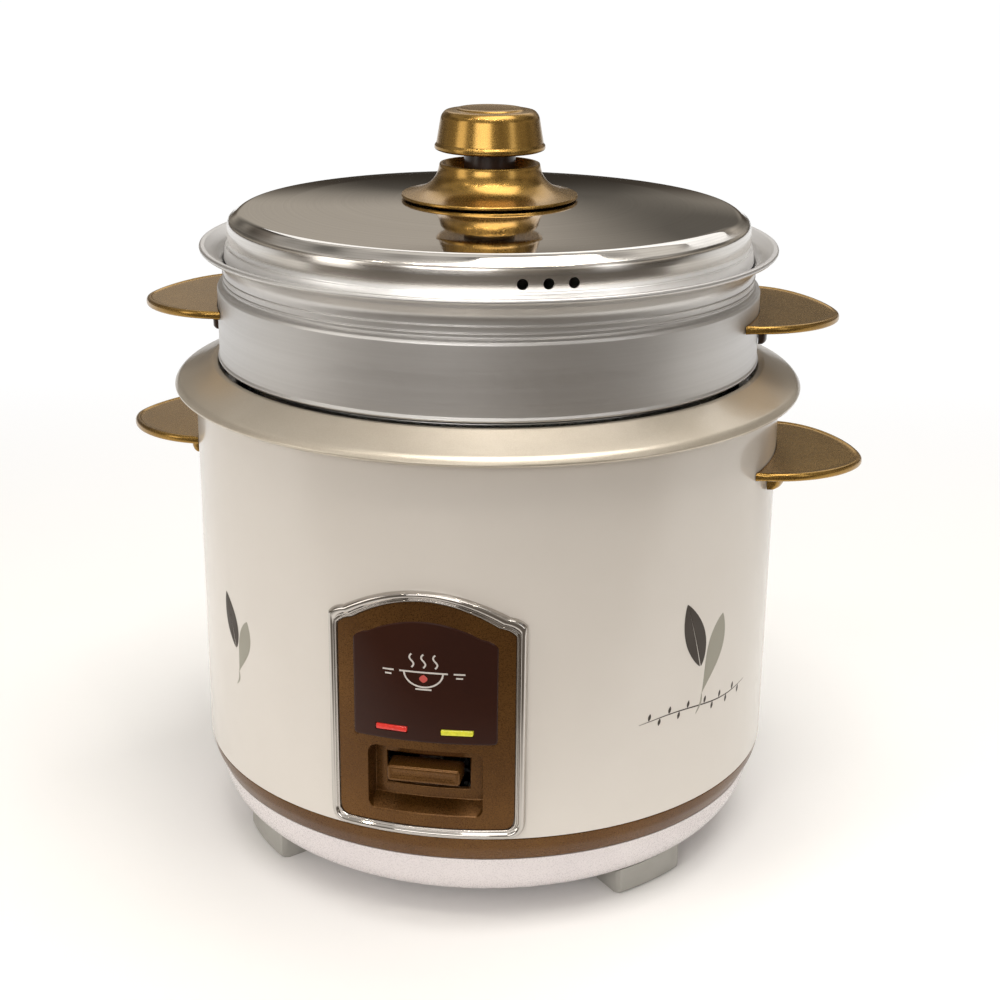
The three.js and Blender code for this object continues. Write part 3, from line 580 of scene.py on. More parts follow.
@dataclass(frozen=True)
class Moulded:
    """A plain moulded plastic or rubber with a fine spark-eroded grain."""

    name: str
    colour: Rgb
    shade: Rgb
    roughness: float = 0.5
    grain: float = 0.02

    def material(self) -> bpy.types.Material:
        """Build the finish."""
        shader = Shader(self.name)
        shader.tint(shader.noise(90.0, 3.0), self.colour, self.shade)
        shader.roughen(shader.noise(300.0, 3.0), self.roughness * 0.85, self.roughness * 1.15)
        shader.bump(shader.noise(1500.0, 3.0), 0.5, self.grain)
        return shader.material


@dataclass(frozen=True)
class Lens:
    """A clear coloured lens over a small lamp, with fine ribs across it."""

    name: str
    colour: Rgb
    glow: float

    def material(self) -> bpy.types.Material:
        """Build the finish."""
        shader = Shader(self.name)
        ribs = shader.noise(700.0, 1.0)
        shader.tint(ribs, self.colour, tuple(0.72 * part for part in self.colour))
        shader.set(Roughness=0.22, Coat_Weight=0.6, Coat_Roughness=0.04, Emission_Strength=self.glow)
        shader.set(Emission_Color=(*self.colour, 1.0))
        shader.bump(ribs, 0.3, 0.02)
        return shader.material


@dataclass(frozen=True)
class LidSteel:
    """Polished steel whose skirt is brushed and whose hem is satin, each from its own height down."""

    name: str = "lid_steel"
    skirt_top: float = 0.2885
    hem_top: float = 0.2786
    edge: float = 0.0006

    def material(self) -> bpy.types.Material:
        """Build the finish."""
        shader = Shader(self.name)
        height = shader.split()[2]
        fine = shader.noise(1.0, 5.0, shader.spun(1500.0))
        polish = shader.spread(height, 0.0, 1.0, self.skirt_top - self.edge, self.skirt_top + self.edge)
        satin = shader.spread(height, 1.0, 0.0, self.hem_top - self.edge, self.hem_top + self.edge)
        skirt_rough = shader.spread(fine, 0.16, 0.26)
        dome_rough = shader.spread(fine, 0.035, 0.07)
        mixed = shader.math(
            "ADD",
            shader.math("MULTIPLY", dome_rough, polish),
            shader.math("MULTIPLY", skirt_rough, shader.math("SUBTRACT", 1.0, polish)),
        )
        shader.link(shader.math("ADD", mixed, shader.math("MULTIPLY", satin, 0.16)), "Roughness")
        steel = shader.blend(shader.spread(fine, 0.0, 1.0), (0.74, 0.71, 0.67), (0.66, 0.63, 0.59))
        shader.link(shader.blend(satin, steel, (0.90, 0.90, 0.90)), "Base Color")
        shader.set(Metallic=1.0)
        shader.bump(shader.math("MULTIPLY", fine, shader.math("SUBTRACT", 1.0, polish)), 0.35, 0.006)
        return shader.material


class Finish(Enum):
    """The cooker's finishes, each named by its material slot, except the printed ones, whose slot PRINT_SLOTS
    gives.
    """

    CREAM_ENAMEL = Gloss("cream_enamel", (0.74, 0.695, 0.64), (0.72, 0.675, 0.62), 0.2, 0.004, 60.0, 0.35)
    PEARL_PLASTIC = FlakePaint(
        "pearl_plastic", (0.80, 0.75, 0.75), (0.74, 0.69, 0.70), 0.1, 0.3, 3000, 0.002
    )
    CHAMPAGNE_RING = FlakePaint(
        "champagne_ring", (0.62, 0.56, 0.47), (0.54, 0.48, 0.39), 0.7, 0.36, 3200, 0.004
    )
    BRONZE_PANEL = FlakePaint(
        "bronze_panel", (0.150, 0.066, 0.012), (0.095, 0.038, 0.007), 0.65, 0.3, 3600, 0.002, 0.06
    )
    GOLD_BRONZE = FlakePaint(
        "gold_bronze", (0.40, 0.235, 0.058), (0.29, 0.165, 0.036), 0.92, 0.24, 3600, 0.002, 0.12
    )
    DARK_BROWN = Gloss("dark_brown", (0.040, 0.016, 0.006), (0.026, 0.011, 0.005), 0.3, 0.01, 200.0, 0.2)
    CHROME_TRIM = Gloss("chrome_trim", (0.56, 0.53, 0.50), (0.50, 0.47, 0.44), 0.06, 0.004, 160.0, 0.0, 1.0)
    SMOKED_WINDOW = Gloss(
        "smoked_window", (0.036, 0.011, 0.006), (0.028, 0.009, 0.006), 0.1, 0.002, 80.0, 0.0, 0.0, 0.25
    )
    RED_LENS = Lens("red_lens", (0.62, 0.03, 0.02), 0.35)
    AMBER_LENS = Lens("amber_lens", (0.62, 0.60, 0.04), 0.35)
    LAMP_BOARD = Moulded("lamp_board", (0.12, 0.25, 0.14), (0.10, 0.21, 0.12), 0.45)
    FOOT_GREY = Moulded("foot_grey", (0.40, 0.39, 0.36), (0.36, 0.35, 0.32), 0.5)
    SATIN_ALUMINIUM = SpunMetal(
        "satin_aluminium", (0.66, 0.65, 0.64), (0.62, 0.61, 0.60), 0.42, 0.05, 700.0, 0.002, 0.3
    )
    MILL_ALUMINIUM = SpunMetal("mill_aluminium", (0.76, 0.76, 0.76), (0.66, 0.66, 0.67), 0.26, 0.08)
    POLISHED_STEEL = LidSteel()
    PLATED_STEEL = Gloss("plated_steel", (0.62, 0.61, 0.58), (0.52, 0.51, 0.50), 0.3, 0.01, 220.0, 0.0, 1.0)
    FERRITE = Moulded("ferrite", (0.035, 0.035, 0.038), (0.05, 0.05, 0.052), 0.6, 0.03)
    PIN_BRASS = Gloss("pin_brass", (0.70, 0.48, 0.18), (0.62, 0.42, 0.15), 0.22, 0.006, 240.0, 0.0, 1.0)
    BLACK_PLASTIC = Moulded("black_plastic", (0.020, 0.020, 0.021), (0.028, 0.028, 0.029), 0.42)
    LEAF_INK = Gloss(
        "leaf_ink", (0.052, 0.038, 0.028), (0.040, 0.030, 0.022), 0.4, 0.002, 300.0, 0.0, 0.0, 0.3
    )
    LEAF_GREY = Gloss(
        "leaf_grey", (0.36, 0.345, 0.285), (0.33, 0.315, 0.26), 0.4, 0.002, 300.0, 0.0, 0.0, 0.3
    )
    PRINT_LIGHT = Gloss("print_light", (0.66, 0.62, 0.58), (0.60, 0.56, 0.52), 0.3, 0.003, 300.0, 0.2)
    PRINT_RED = Gloss("print_red", (0.60, 0.10, 0.08), (0.52, 0.08, 0.07), 0.3, 0.003, 300.0, 0.2)


PRINT_SLOTS = {
    Finish.LEAF_INK: "dark_brown",
    Finish.LEAF_GREY: "foot_grey",
    Finish.PRINT_LIGHT: "foot_grey",
    Finish.PRINT_RED: "red_lens",
}


class Paints:
    """The built materials, one for each finish in use."""

    def __init__(self) -> None:
        """Start with none built."""
        self.built: dict[Finish, bpy.types.Material] = {}

    def get(self, finish: Finish) -> bpy.types.Material:
        """The material of a finish, built the first time it is asked for."""
        if finish not in self.built:
            self.built[finish] = finish.value.material()
        return self.built[finish]

    def slot_of(self, finish: Finish) -> str:
        """The record's material slot that a finish belongs to."""
        return PRINT_SLOTS.get(finish, finish.name.lower())

    def dress(self, piece: Piece, finish: Finish, body: str, *nodes: str) -> Piece:
        """Give a piece its finish and its body, and hide the frame nodes that it stands for.

        Args:
            piece: The finished mesh object.
            finish: Its finish.
            body: The body it moves with.
            nodes: The frame nodes it replaces.

        Returns:
            The same piece.
        """
        piece.data.materials.clear()
        piece.data.materials.append(self.get(finish))
        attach(piece, body)
        self.slot_of(finish)
        if nodes:
            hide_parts(*nodes)
        LOG.info("%s: %d faces on %s", piece.name, len(piece.data.polygons), body)
        return piece


# ---------------------------------------------------------------- geometry nodes


class Pattern:
    """A Geometry Nodes tree under construction, with named inputs."""

    def __init__(self, name: str) -> None:
        """Start a tree that takes a mesh and gives a mesh."""
        self.group = bpy.data.node_groups.new(name, "GeometryNodeTree")
        self.ids: dict[str, str] = {}
        self.group.interface.new_socket("Geometry", in_out="OUTPUT", socket_type="NodeSocketGeometry")
        self.group.interface.new_socket("Geometry", in_out="INPUT", socket_type="NodeSocketGeometry")
        self.source = self.add("NodeGroupInput")

    def add(self, kind: str, inputs: Inputs | None = None, **settings: object) -> bpy.types.Node:
        """Add a node, with its inputs and properties."""
        return wire(self.group, kind, inputs or {}, **settings)

    def value(self, name: str, kind: str) -> Socket:
        """Add a named input, such as a size, and give its output on the input node."""
        socket = self.group.interface.new_socket(name, in_out="INPUT", socket_type=kind)
        self.ids[name] = socket.identifier
        return next(output for output in self.source.outputs if output.identifier == socket.identifier)

    def link(self, output: Socket, socket: Socket) -> None:
        """Join two sockets."""
        self.group.links.new(output, socket)

    def math(self, kind: str, a: Socket, b: Socket | float) -> Socket:
        """The output of a Math node."""
        return self.add("ShaderNodeMath", {0: a, 1: b}, operation=kind).outputs[0]

    def repeat(self, points: Socket, instance: Socket, **inputs: object) -> Socket:
        """Put an instance on every point."""
        everything = {"Points": points, "Instance": instance, **inputs}
        return self.add("GeometryNodeInstanceOnPoints", everything).outputs[0]

    def drill(self, tools: Socket, material: bpy.types.Material) -> None:
        """End the tree with the source mesh, cut by the tools."""
        inputs = {"Mesh 1": self.source.outputs[0], "Mesh 2": tools}
        cut = self.add("GeometryNodeMeshBoolean", inputs, operation="DIFFERENCE", solver="EXACT")
        self.finish(cut.outputs["Mesh"], material)

    def finish(self, geometry: Socket, material: bpy.types.Material) -> None:
        """End the tree in Realize Instances and Set Material."""
        real = self.add("GeometryNodeRealizeInstances", {0: geometry}).outputs[0]
        paint = self.add("GeometryNodeSetMaterial", {"Geometry": real, "Material": material}).outputs[0]
        self.add("NodeGroupOutput", {0: paint})

    def grow(self, piece: Piece, values: dict[str, object]) -> Piece:
        """Run the tree on a piece and keep the result as its plain mesh.

        Args:
            piece: The object whose mesh goes in.
            values: The named inputs.

        Returns:
            The same object, with no modifier left on it.
        """
        modifier = piece.modifiers.new(self.group.name, "NODES")
        modifier.node_group = self.group
        for name, value in values.items():
            modifier[self.ids[name]] = value
        bpy.context.view_layer.update()
        graph = bpy.context.evaluated_depsgraph_get()
        mesh = bpy.data.meshes.new_from_object(piece.evaluated_get(graph))
        piece.modifiers.remove(modifier)
        piece.data = mesh
        mesh.name = piece.name
        shade(mesh)
        return piece


def ring_array(name: str, prototype: Piece, count: int, turn: float, material: bpy.types.Material) -> Piece:
    """Repeat a piece evenly about the cooker's axis.

    Args:
        name: The new piece's name.
        prototype: The first copy, in place. It becomes the returned object.
        count: How many copies there are.
        turn: Degrees by which the first copy is turned.
        material: The copies' material.

    Returns:
        One object that holds every copy.
    """
    pattern = Pattern("ring_array")
    copies = pattern.value("Count", "NodeSocketInt")
    start = pattern.value("Turn", "NodeSocketFloat")
    points = pattern.add("GeometryNodeMeshLine", {"Count": copies, "Offset": (0, 0, 0)}).outputs["Mesh"]
    step = pattern.math("DIVIDE", pattern.add("GeometryNodeInputIndex").outputs[0], copies)
    angle = pattern.math("ADD", pattern.math("MULTIPLY", step, 2 * math.pi), start)
    spin = pattern.add("ShaderNodeCombineXYZ", {"Z": angle}).outputs[0]
    pattern.finish(pattern.repeat(points, pattern.source.outputs[0], Rotation=spin), material)
    pattern.grow(prototype, {"Count": count, "Turn": math.radians(turn)})
    prototype.name = name
    prototype.data.name = name
    return prototype


def perforated(
    sheet: Piece, pitch: float, radius: float, rings: int, level: float, material: bpy.types.Material,
) -> Piece:
    """Punch a centre hole and rings of six more holes each through a flat sheet.

    Args:
        sheet: The flat sheet.
        pitch: Distance between rings.
        radius: Each hole's radius.
        rings: Number of rings.
        level: The sheet's middle height.
        material: The sheet's material.

    Returns:
        The sheet with its holes.
    """
    pattern = Pattern("steam_holes")
    spacing = pattern.value("Pitch", "NodeSocketFloat")
    size = pattern.value("Hole Radius", "NodeSocketFloat")
    height = pattern.value("Level", "NodeSocketFloat")
    size_of = {"Vertices": HOLE_SIDES, "Depth": CUTTER_DEPTH, "Radius": size}
    tool = pattern.add("GeometryNodeMeshCylinder", size_of).outputs["Mesh"]
    everything = pattern.add("GeometryNodeJoinGeometry")
    pattern.link(pattern.add("GeometryNodeMeshLine", {"Count": 1}).outputs["Mesh"], everything.inputs[0])
    for ring in range(1, rings + 1):
        across = pattern.math("MULTIPLY", spacing, float(ring))
        circle = pattern.add("GeometryNodeMeshCircle", {"Vertices": ring * 6, "Radius": across})
        pattern.link(circle.outputs["Mesh"], everything.inputs[0])
    lift = pattern.add("ShaderNodeCombineXYZ", {"Z": height}).outputs[0]
    raised = pattern.add("GeometryNodeTransform", {"Geometry": everything.outputs[0], "Translation": lift})
    pattern.drill(pattern.repeat(raised.outputs[0], tool), material)
    return pattern.grow(sheet, {"Pitch": pitch * MM, "Hole Radius": radius * MM, "Level": level * MM})


def slotted(
    sheet: Piece, pitch: float, size: Spot, count: int, level: float, material: bpy.types.Material,
) -> Piece:
    """Cut a row of parallel vent slots through a flat sheet.

    Args:
        sheet: The flat sheet.
        pitch: Distance between slots, along Y.
        size: Each slot's length along X and width along Y.
        count: Number of slots, centred on the axis.
        level: The sheet's middle height.
        material: The sheet's material.

    Returns:
        The sheet with its slots.
    """
    pattern = Pattern("vent_slots")
    number = pattern.value("Count", "NodeSocketInt")
    spacing = pattern.value("Pitch", "NodeSocketFloat")
    reach = (size[0] * MM, size[1] * MM, CUTTER_DEPTH)
    bar = pattern.add("GeometryNodeMeshCube", {"Size": reach}).outputs["Mesh"]
    step = pattern.add("ShaderNodeCombineXYZ", {"Y": spacing}).outputs[0]
    start = (0, -pitch * MM * (count - 1) / 2, level * MM)
    row = pattern.add("GeometryNodeMeshLine", {"Start Location": start, "Count": number, "Offset": step})
    pattern.drill(pattern.repeat(row.outputs["Mesh"], bar), material)
    return pattern.grow(sheet, {"Count": count, "Pitch": pitch * MM})


# ---------------------------------------------------------------- places


@dataclass(frozen=True)
class Levels:
    """A frame node's reach, in millimetres."""

    low: Vector
    high: Vector

    @classmethod
    def of(cls, node: str) -> "Levels":
        """Read a node's box from the frame."""
        low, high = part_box(node)
        return cls(low / MM, high / MM)

    @property
    def radius(self) -> float:
        """Outer radius of a piece that is turned about the axis."""
        return self.high.x

    @property
    def middle(self) -> float:
        """Half-way height."""
        return (self.bottom + self.top) / 2

    @property
    def bottom(self) -> float:
        """Lowest height."""
        return self.low.z

    @property
    def top(self) -> float:
        """Highest height."""
        return self.high.z


@dataclass
class Assembly:
    """A sub-assembly whose pieces share the cooker's paints and ride on one body."""

    paints: Paints
    body: str = "cooker_body"

    def dress(self, piece: Piece, finish: Finish, *nodes: str) -> Piece:
        """Dress a piece that rides on this sub-assembly's own body."""
        return self.paints.dress(piece, finish, self.body, *nodes)


# ---------------------------------------------------------------- casing


@dataclass
class Casing(Assembly):
    """The drum's shell, top ring, trim band, base, feet and liner."""

    shell_wall: float = 1.0
    pan_wall: float = 1.5
    pan_floor_radius: float = 106.0
    pan_opening: float = 84.0
    ring_opening: float = 122.4
    foot_radius: float = 117.8
    foot_depth: float = 20.0
    liner_wall: float = 1.2
    liner_radius: float = 116.0
    foot_span: float = 19.0
    foot_azimuth: float = 51.0
    foot_round: float = 2.2
    bottom_screw_radius: float = 89.0
    slot_size: Spot = (60.0, 4.0)
    slot_pitch: float = 14.0

    def build(self) -> None:
        """Build every piece of the casing."""
        self.shell()
        self.ring()
        self.band()
        self.base()
        self.liner()
        self.feet()
        self.bottom()

    def shell(self) -> None:
        """The enamelled sheet, with its openings for the panel at the front and the inlet at the back."""
        place = Levels.of("outer_shell")
        inlet = Levels.of("power_inlet")
        radius = place.radius
        front_half = math.degrees(math.asin(27 / radius))
        back_half = math.degrees(math.asin(15.4 / radius))
        angles = lines(
            (-180, -front_half, 1.5), (-front_half, front_half, 1.5), (front_half, 180 - back_half, 1.5),
            (180 - back_half, 180, 1.5), (-180, -180 + back_half, 1.5),
        )[:-1]
        middle = inlet.middle
        heights = lines(
            (place.bottom, place.bottom + 7, 6), (place.bottom + 7, place.bottom + 56, 6),
            (middle - 10.4, middle + 10.4, 6), (place.bottom + 56, place.top, 8),
        )
        turn = np.radians(angles)[:, None]
        unit = np.stack([np.sin(turn), -np.cos(turn)], axis=-1)
        grid = np.zeros((len(angles), len(heights), 3))
        grid[..., 2] = heights
        outer = grid.copy()
        outer[..., :2] = unit * radius
        inner = grid.copy()
        inner[..., :2] = unit * (radius - self.shell_wall)
        centre = (angles + np.append(angles[1:], 180)) / 2
        level = (heights[:-1] + heights[1:]) / 2
        at_front = np.abs(centre)[:, None] < front_half
        in_panel = (level > place.bottom + 7) & (level < place.bottom + 56)
        at_back = np.abs(centre)[:, None] > 180 - back_half
        in_inlet = np.abs(level - middle) < 10.4
        solid = ~((at_front & in_panel[None, :]) | (at_back & in_inlet[None, :]))
        piece = walled("outer_shell_skin", outer, inner, solid, wrap=True)
        self.dress(piece, Finish.CREAM_ENAMEL, "outer_shell")

    def ring(self) -> None:
        """The champagne ring on the shell's upper edge: a soft shoulder that falls to a rounded nose."""
        place = Levels.of("top_ring")
        shell = Levels.of("outer_shell")
        edge = place.radius
        inside = self.ring_opening
        outline = rounded([
            (inside, shell.top + 0.6, 0.4), (inside, place.top - 0.1, 1.5),
            (inside + 3.4, place.top, 2.5), (edge - 10.5, place.top - 3.3, 26),
            (edge - 1.9, place.top - 7.2, 5.5), (edge, place.top - 10.0, 2.0),
            (edge - 1.6, shell.top - 0.3, 1.0), (shell.radius + 0.6, shell.top + 0.3, 0.2),
            (shell.radius - 1.6, shell.top + 0.3, 0.1), (shell.radius - 1.6, place.bottom, 0.2),
            (shell.radius - 3.0, place.bottom, 0.2), (shell.radius - 3.0, shell.top + 5.5, 1.0),
            (inside + 1.8, place.top - 3.0, 1.0), (inside + 1.8, shell.top + 0.6, 0.4),
        ], closed=True, step=7)
        self.dress(lathe("top_ring_moulding", outline), Finish.CHAMPAGNE_RING, "top_ring")

    def band(self) -> None:
        """The narrow brown band between the shell and the base."""
        place = Levels.of("trim_band")
        shell = Levels.of("outer_shell")
        foot = Levels.of("base_pan").radius
        face_top = shell.bottom - 0.3
        tongue = shell.radius - self.shell_wall - 0.3
        outline = rounded([
            (foot - 2.0, place.bottom, 0), (foot + 0.1, place.bottom, 0.5),
            (shell.radius - 1.1, place.bottom + 6.4, 9), (shell.radius, face_top, 0.4),
            (tongue, face_top, 0), (tongue, place.top, 0.3), (tongue - 1.3, place.top, 0.3),
            (tongue - 1.3, face_top - 0.8, 0.5),
        ], closed=True)
        self.dress(lathe("trim_band_moulding", outline), Finish.BRONZE_PANEL, "trim_band")

    def bowl(self, inward: float = 0.0, steps: int = 26) -> list[Spot]:
        """The base's curved side from its upper edge to its flat floor, moved inwards by a distance."""
        place = Levels.of("base_pan")
        upper = Levels.of("trim_band").bottom - 0.3
        curve = bezier([
            (place.radius, upper), (place.radius - 1.3, place.bottom + 13),
            (self.pan_floor_radius + 15, place.bottom + 1.5), (self.pan_floor_radius, place.bottom),
        ], steps)
        return offset_outline(curve, -inward)

    def base(self) -> None:
        """The pearl bowl under the band, open in the middle."""
        place = Levels.of("base_pan")
        outside = self.bowl()
        inside = self.bowl(self.pan_wall)
        tongue = place.radius - 3.7
        opening = self.pan_opening
        upper = outside[0][1]
        outline = [
            *outside,
            *rounded([
                (self.pan_floor_radius, place.bottom, 0), (opening, place.bottom, 0.6),
                (opening, place.bottom + self.pan_wall, 0.6),
                (self.pan_floor_radius, place.bottom + self.pan_wall, 0),
            ])[1:],
            *reversed(inside[2:-1]),
            (tongue - 1.2, upper - 1.2), (tongue - 1.2, place.top), (tongue, place.top),
            (tongue, upper),
        ]
        self.dress(lathe("base_bowl", outline), Finish.PEARL_PLASTIC, "base_pan")

    def liner(self) -> None:
        """The bright inner can that the pot stands in."""
        place = Levels.of("inner_liner")
        wall, can = self.liner_wall, self.liner_radius
        outline = rounded([
            (14, place.bottom, 0.3), (14, place.bottom + wall, 0.3),
            (can - wall, place.bottom + wall, 5), (can - wall, place.top, 1.5),
            (place.radius, place.top, 0.3), (place.radius, place.top - wall, 0.3),
            (can, place.top - wall, 0.8), (can, place.bottom, 6),
        ], closed=True)
        self.dress(lathe("liner_can", outline), Finish.MILL_ALUMINIUM, "inner_liner")

    def feet(self) -> None:
        """Four grey feet that follow the base's curve, with rounded lower edges."""
        radius = self.foot_radius
        low = radius - self.foot_depth
        bowl = np.array(self.bowl(-0.3))[::-1]
        tops = [(r, float(np.interp(r, bowl[:, 0], bowl[:, 1]))) for r in np.linspace(low, radius, 12)]
        corners = [(low, 0.0, 1.2), (radius, 0.0, self.foot_round)]
        section = np.array(rounded([*corners, *((r, z, 0.0) for r, z in reversed(tops))], closed=True))
        centre = np.array(((low + radius) / 2, 5.0))
        half = self.foot_span / 2
        reach = math.degrees(self.foot_round / radius)
        loops = []
        for i in range(25):
            share = i / 12 - 1
            angle = half * math.copysign(abs(share) ** 0.55, share)
            past = max(0.0, abs(angle) - (half - reach)) / reach
            inset = self.foot_round * (1 - math.sqrt(max(0.0, 1 - past**2)))
            shrunk = section + (centre - section) * inset / 10
            shrunk[:, 1] = np.minimum(shrunk[:, 1], section[:, 1])
            turn = math.radians(angle)
            out, up = shrunk[:, 0], shrunk[:, 1]
            loops.append(np.stack([out * math.sin(turn), -out * math.cos(turn), up], axis=1))
        first = loft("foot_block", loops)
        azimuths = (self.foot_azimuth, 180 - self.foot_azimuth, self.foot_azimuth - 180, -self.foot_azimuth)
        for azimuth in azimuths:
            angle = math.radians(azimuth - 90)
            spot = (radius - self.foot_depth / 2) * Vector((math.cos(angle), math.sin(angle), 0))
            node = min(
                (f"foot_{i}" for i in range(1, 5)),
                key=lambda name: (sum(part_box(name), Vector()) / 2 / MM - spot).xy.length,
            )
            piece = turned_copy(first, f"{node}_block", azimuth)
            self.dress(piece, Finish.FOOT_GREY, node)
        bpy.data.objects.remove(first)

    def bottom(self) -> None:
        """The slotted plate that closes the base, and its three screws."""
        place = Levels.of("bottom_plate")
        outline = rounded([
            (0, place.bottom, 0), (place.radius, place.bottom, 0.4), (place.radius, place.top, 0.4),
            (0, place.top, 0),
        ])
        plate = slotted(
            lathe("bottom_cover", outline, 96), self.slot_pitch, self.slot_size, 5,
            (place.bottom + place.top) / 2, self.paints.get(Finish.MILL_ALUMINIUM),
        )
        self.dress(plate, Finish.MILL_ALUMINIUM, "bottom_plate")
        screw = Levels.of("bottom_screw_1")
        head = rounded([
            (0, screw.bottom + 0.7, 0), (1.5, screw.bottom + 0.7, 0.2), (1.7, screw.bottom, 0.3),
            (2.6, screw.bottom, 1.0), (3.4, screw.bottom + 1.2, 0.3), (3.4, screw.bottom + 1.6, 0.1),
            (1.5, screw.bottom + 1.6, 0), (1.5, screw.top - 1, 0), (0.3, screw.top, 0),
            (0, screw.top, 0),
        ])
        first = lathe("bottom_screw", head, 32)
        first.data.transform(Matrix.Translation((0, self.bottom_screw_radius * MM, 0)))
        screws = ring_array("bottom_screws", first, 3, 0, self.paints.get(Finish.PLATED_STEEL))
        names = [f"bottom_screw_{i}" for i in (1, 2, 3)]
        self.dress(screws, Finish.PLATED_STEEL, *names)


# ---------------------------------------------------------------- handles


@dataclass(frozen=True)
class Paddle:
    """A flat oval grip that reaches out from a drum along +X, with a raised line round its free edge."""

    drum: float
    far: float
    half_width: float
    top: float
    thickness: float = 3.5
    edge_round: float = 1.5
    lower_round: float = 1.1
    rim_inset: float = 2.3
    rim_height: float = 0.45
    droop: float = 2.2

    def outline(self) -> tuple[np.ndarray, np.ndarray, np.ndarray]:
        """The plan's points, the way in at each, and how free of the drum each is."""
        reach = self.far - self.drum
        width = self.half_width
        quarter = bezier([
            (self.drum - 4, -width), (self.drum + reach * 0.55, -width), (self.far, -width * 0.32),
            (self.far, 0.0),
        ], 34)
        free = quarter + [(x, -y) for x, y in reversed(quarter[:-1])]
        clear = self.drum + 0.3
        start = math.asin(width / clear)
        arc = [
            (clear * math.cos(a), clear * math.sin(a)) for a in np.linspace(start, -start, 26)
        ]
        points = np.array(free + arc)
        freedom = np.array([1.0] * len(free) + [0.0] * len(arc))
        along = np.roll(points, -1, axis=0) - np.roll(points, 1, axis=0)
        along /= np.linalg.norm(along, axis=1)[:, None]
        inward = np.stack([-along[:, 1], along[:, 0]], axis=1)
        inward[len(free):] = (1.0, 0.0)
        return points, inward, freedom

    def levels(self) -> list[Spot]:
        """Inset and height of each loop, from the middle of the underside to the middle of the top."""
        low = self.top - self.thickness
        found = [(9.0, low), (self.lower_round + 1.2, low)]
        found.extend((down, low + inward) for inward, down in quarter(self.lower_round, 4))
        found.extend((inward, self.top - down) for inward, down in quarter(self.edge_round, 6))
        start = self.rim_inset
        dip = self.top - self.rim_height
        found.extend([
            (start - 0.35, self.top), (start, self.top - 0.12), (start + 0.2, dip + 0.12), (start + 0.5, dip),
            (start + 2.4, dip), (start + 5.0, dip),
        ])
        return found

    def mesh(self, name: str) -> Piece:
        """Build the grip."""
        points, inward, freedom = self.outline()
        loops = []
        for inset, height in self.levels():
            share = 0.04 + 0.96 * freedom
            flat = points + inward * (inset * share)[:, None]
            run = ((flat[:, 0] - self.drum) / (self.far - self.drum)).clip(0, 1)
            loops.append(np.column_stack([flat, height - self.droop * run**2]))
        return loft(name, loops)


@dataclass(frozen=True)
class DrumBlock:
    """A block that hugs a drum at +X, whose reach changes with height and whose corners are rounded."""

    drum: float
    half_width: float
    profile: tuple[Spot, ...]
    squareness: float = 0.4

    def mesh(self, name: str) -> Piece:
        """Build the block."""
        turn = np.linspace(0, math.pi, 41)
        across = np.sign(np.cos(turn)) * np.abs(np.cos(turn)) ** self.squareness
        outward = np.abs(np.sin(turn)) ** self.squareness
        clear = self.drum + 0.3
        loops = []
        for height, reach in self.profile:
            y = across * self.half_width
            x = np.sqrt(clear**2 - y**2) + outward * reach
            back = np.linspace(-self.half_width, self.half_width, 23)[1:-1]
            front_part = np.stack([x, y, np.full_like(x, height)], axis=1)
            back_part = np.stack([np.sqrt(clear**2 - back**2), back, np.full_like(back, height)], axis=1)
            loops.append(np.concatenate([front_part, back_part]))
        return loft(name, loops)


@dataclass
class Handles(Assembly):
    """A pair of grips on opposite sides of a drum, each with a block that holds it."""

    turn: float = 0.0

    def mount(self, paddle: Paddle, block: DrumBlock, names: Sequence[str], finish: Finish) -> None:
        """Place both grips and their blocks.

        Args:
            paddle: The grip, on the right.
            block: The block that holds it.
            names: What the grip, the block, and the frame nodes that they stand for are called.
            finish: The block's finish.
        """
        for side, turn in (("right", self.turn), ("left", self.turn + 180)):
            grip = turn_mesh(paddle.mesh(f"{names[0]}_{side}"), turn)
            self.dress(grip, Finish.GOLD_BRONZE, f"{names[2]}_{side}")
            held = turn_mesh(block.mesh(f"{names[1]}_{side}"), turn)
            self.dress(held, finish, f"{names[3]}_{side}")


@dataclass
class BodyHandles(Handles):
    """The two fixed grips on the drum."""

    half_width: float = 43.0
    root_half_width: float = 26.0

    def build(self) -> None:
        """Build both grips and their roots."""
        place = Levels.of("body_handle_right")
        drum = Levels.of("outer_shell").radius
        paddle = Paddle(drum, place.high.x, self.half_width, place.top)
        under = place.top - paddle.thickness
        profile = [(place.bottom, 4.2), (place.bottom + 0.5, 5.2), (place.bottom + 2, 6.0)]
        for i in range(9):
            share = i / 8
            height = place.bottom + 4 + (under - place.bottom - 4.0) * share
            profile.append((height, 6.2 + 7.0 * share**4))
        root = DrumBlock(drum, self.root_half_width, tuple(profile))
        names = ("body_grip", "body_grip_root", "body_handle", "body_handle")
        self.mount(paddle, root, names, Finish.GOLD_BRONZE)


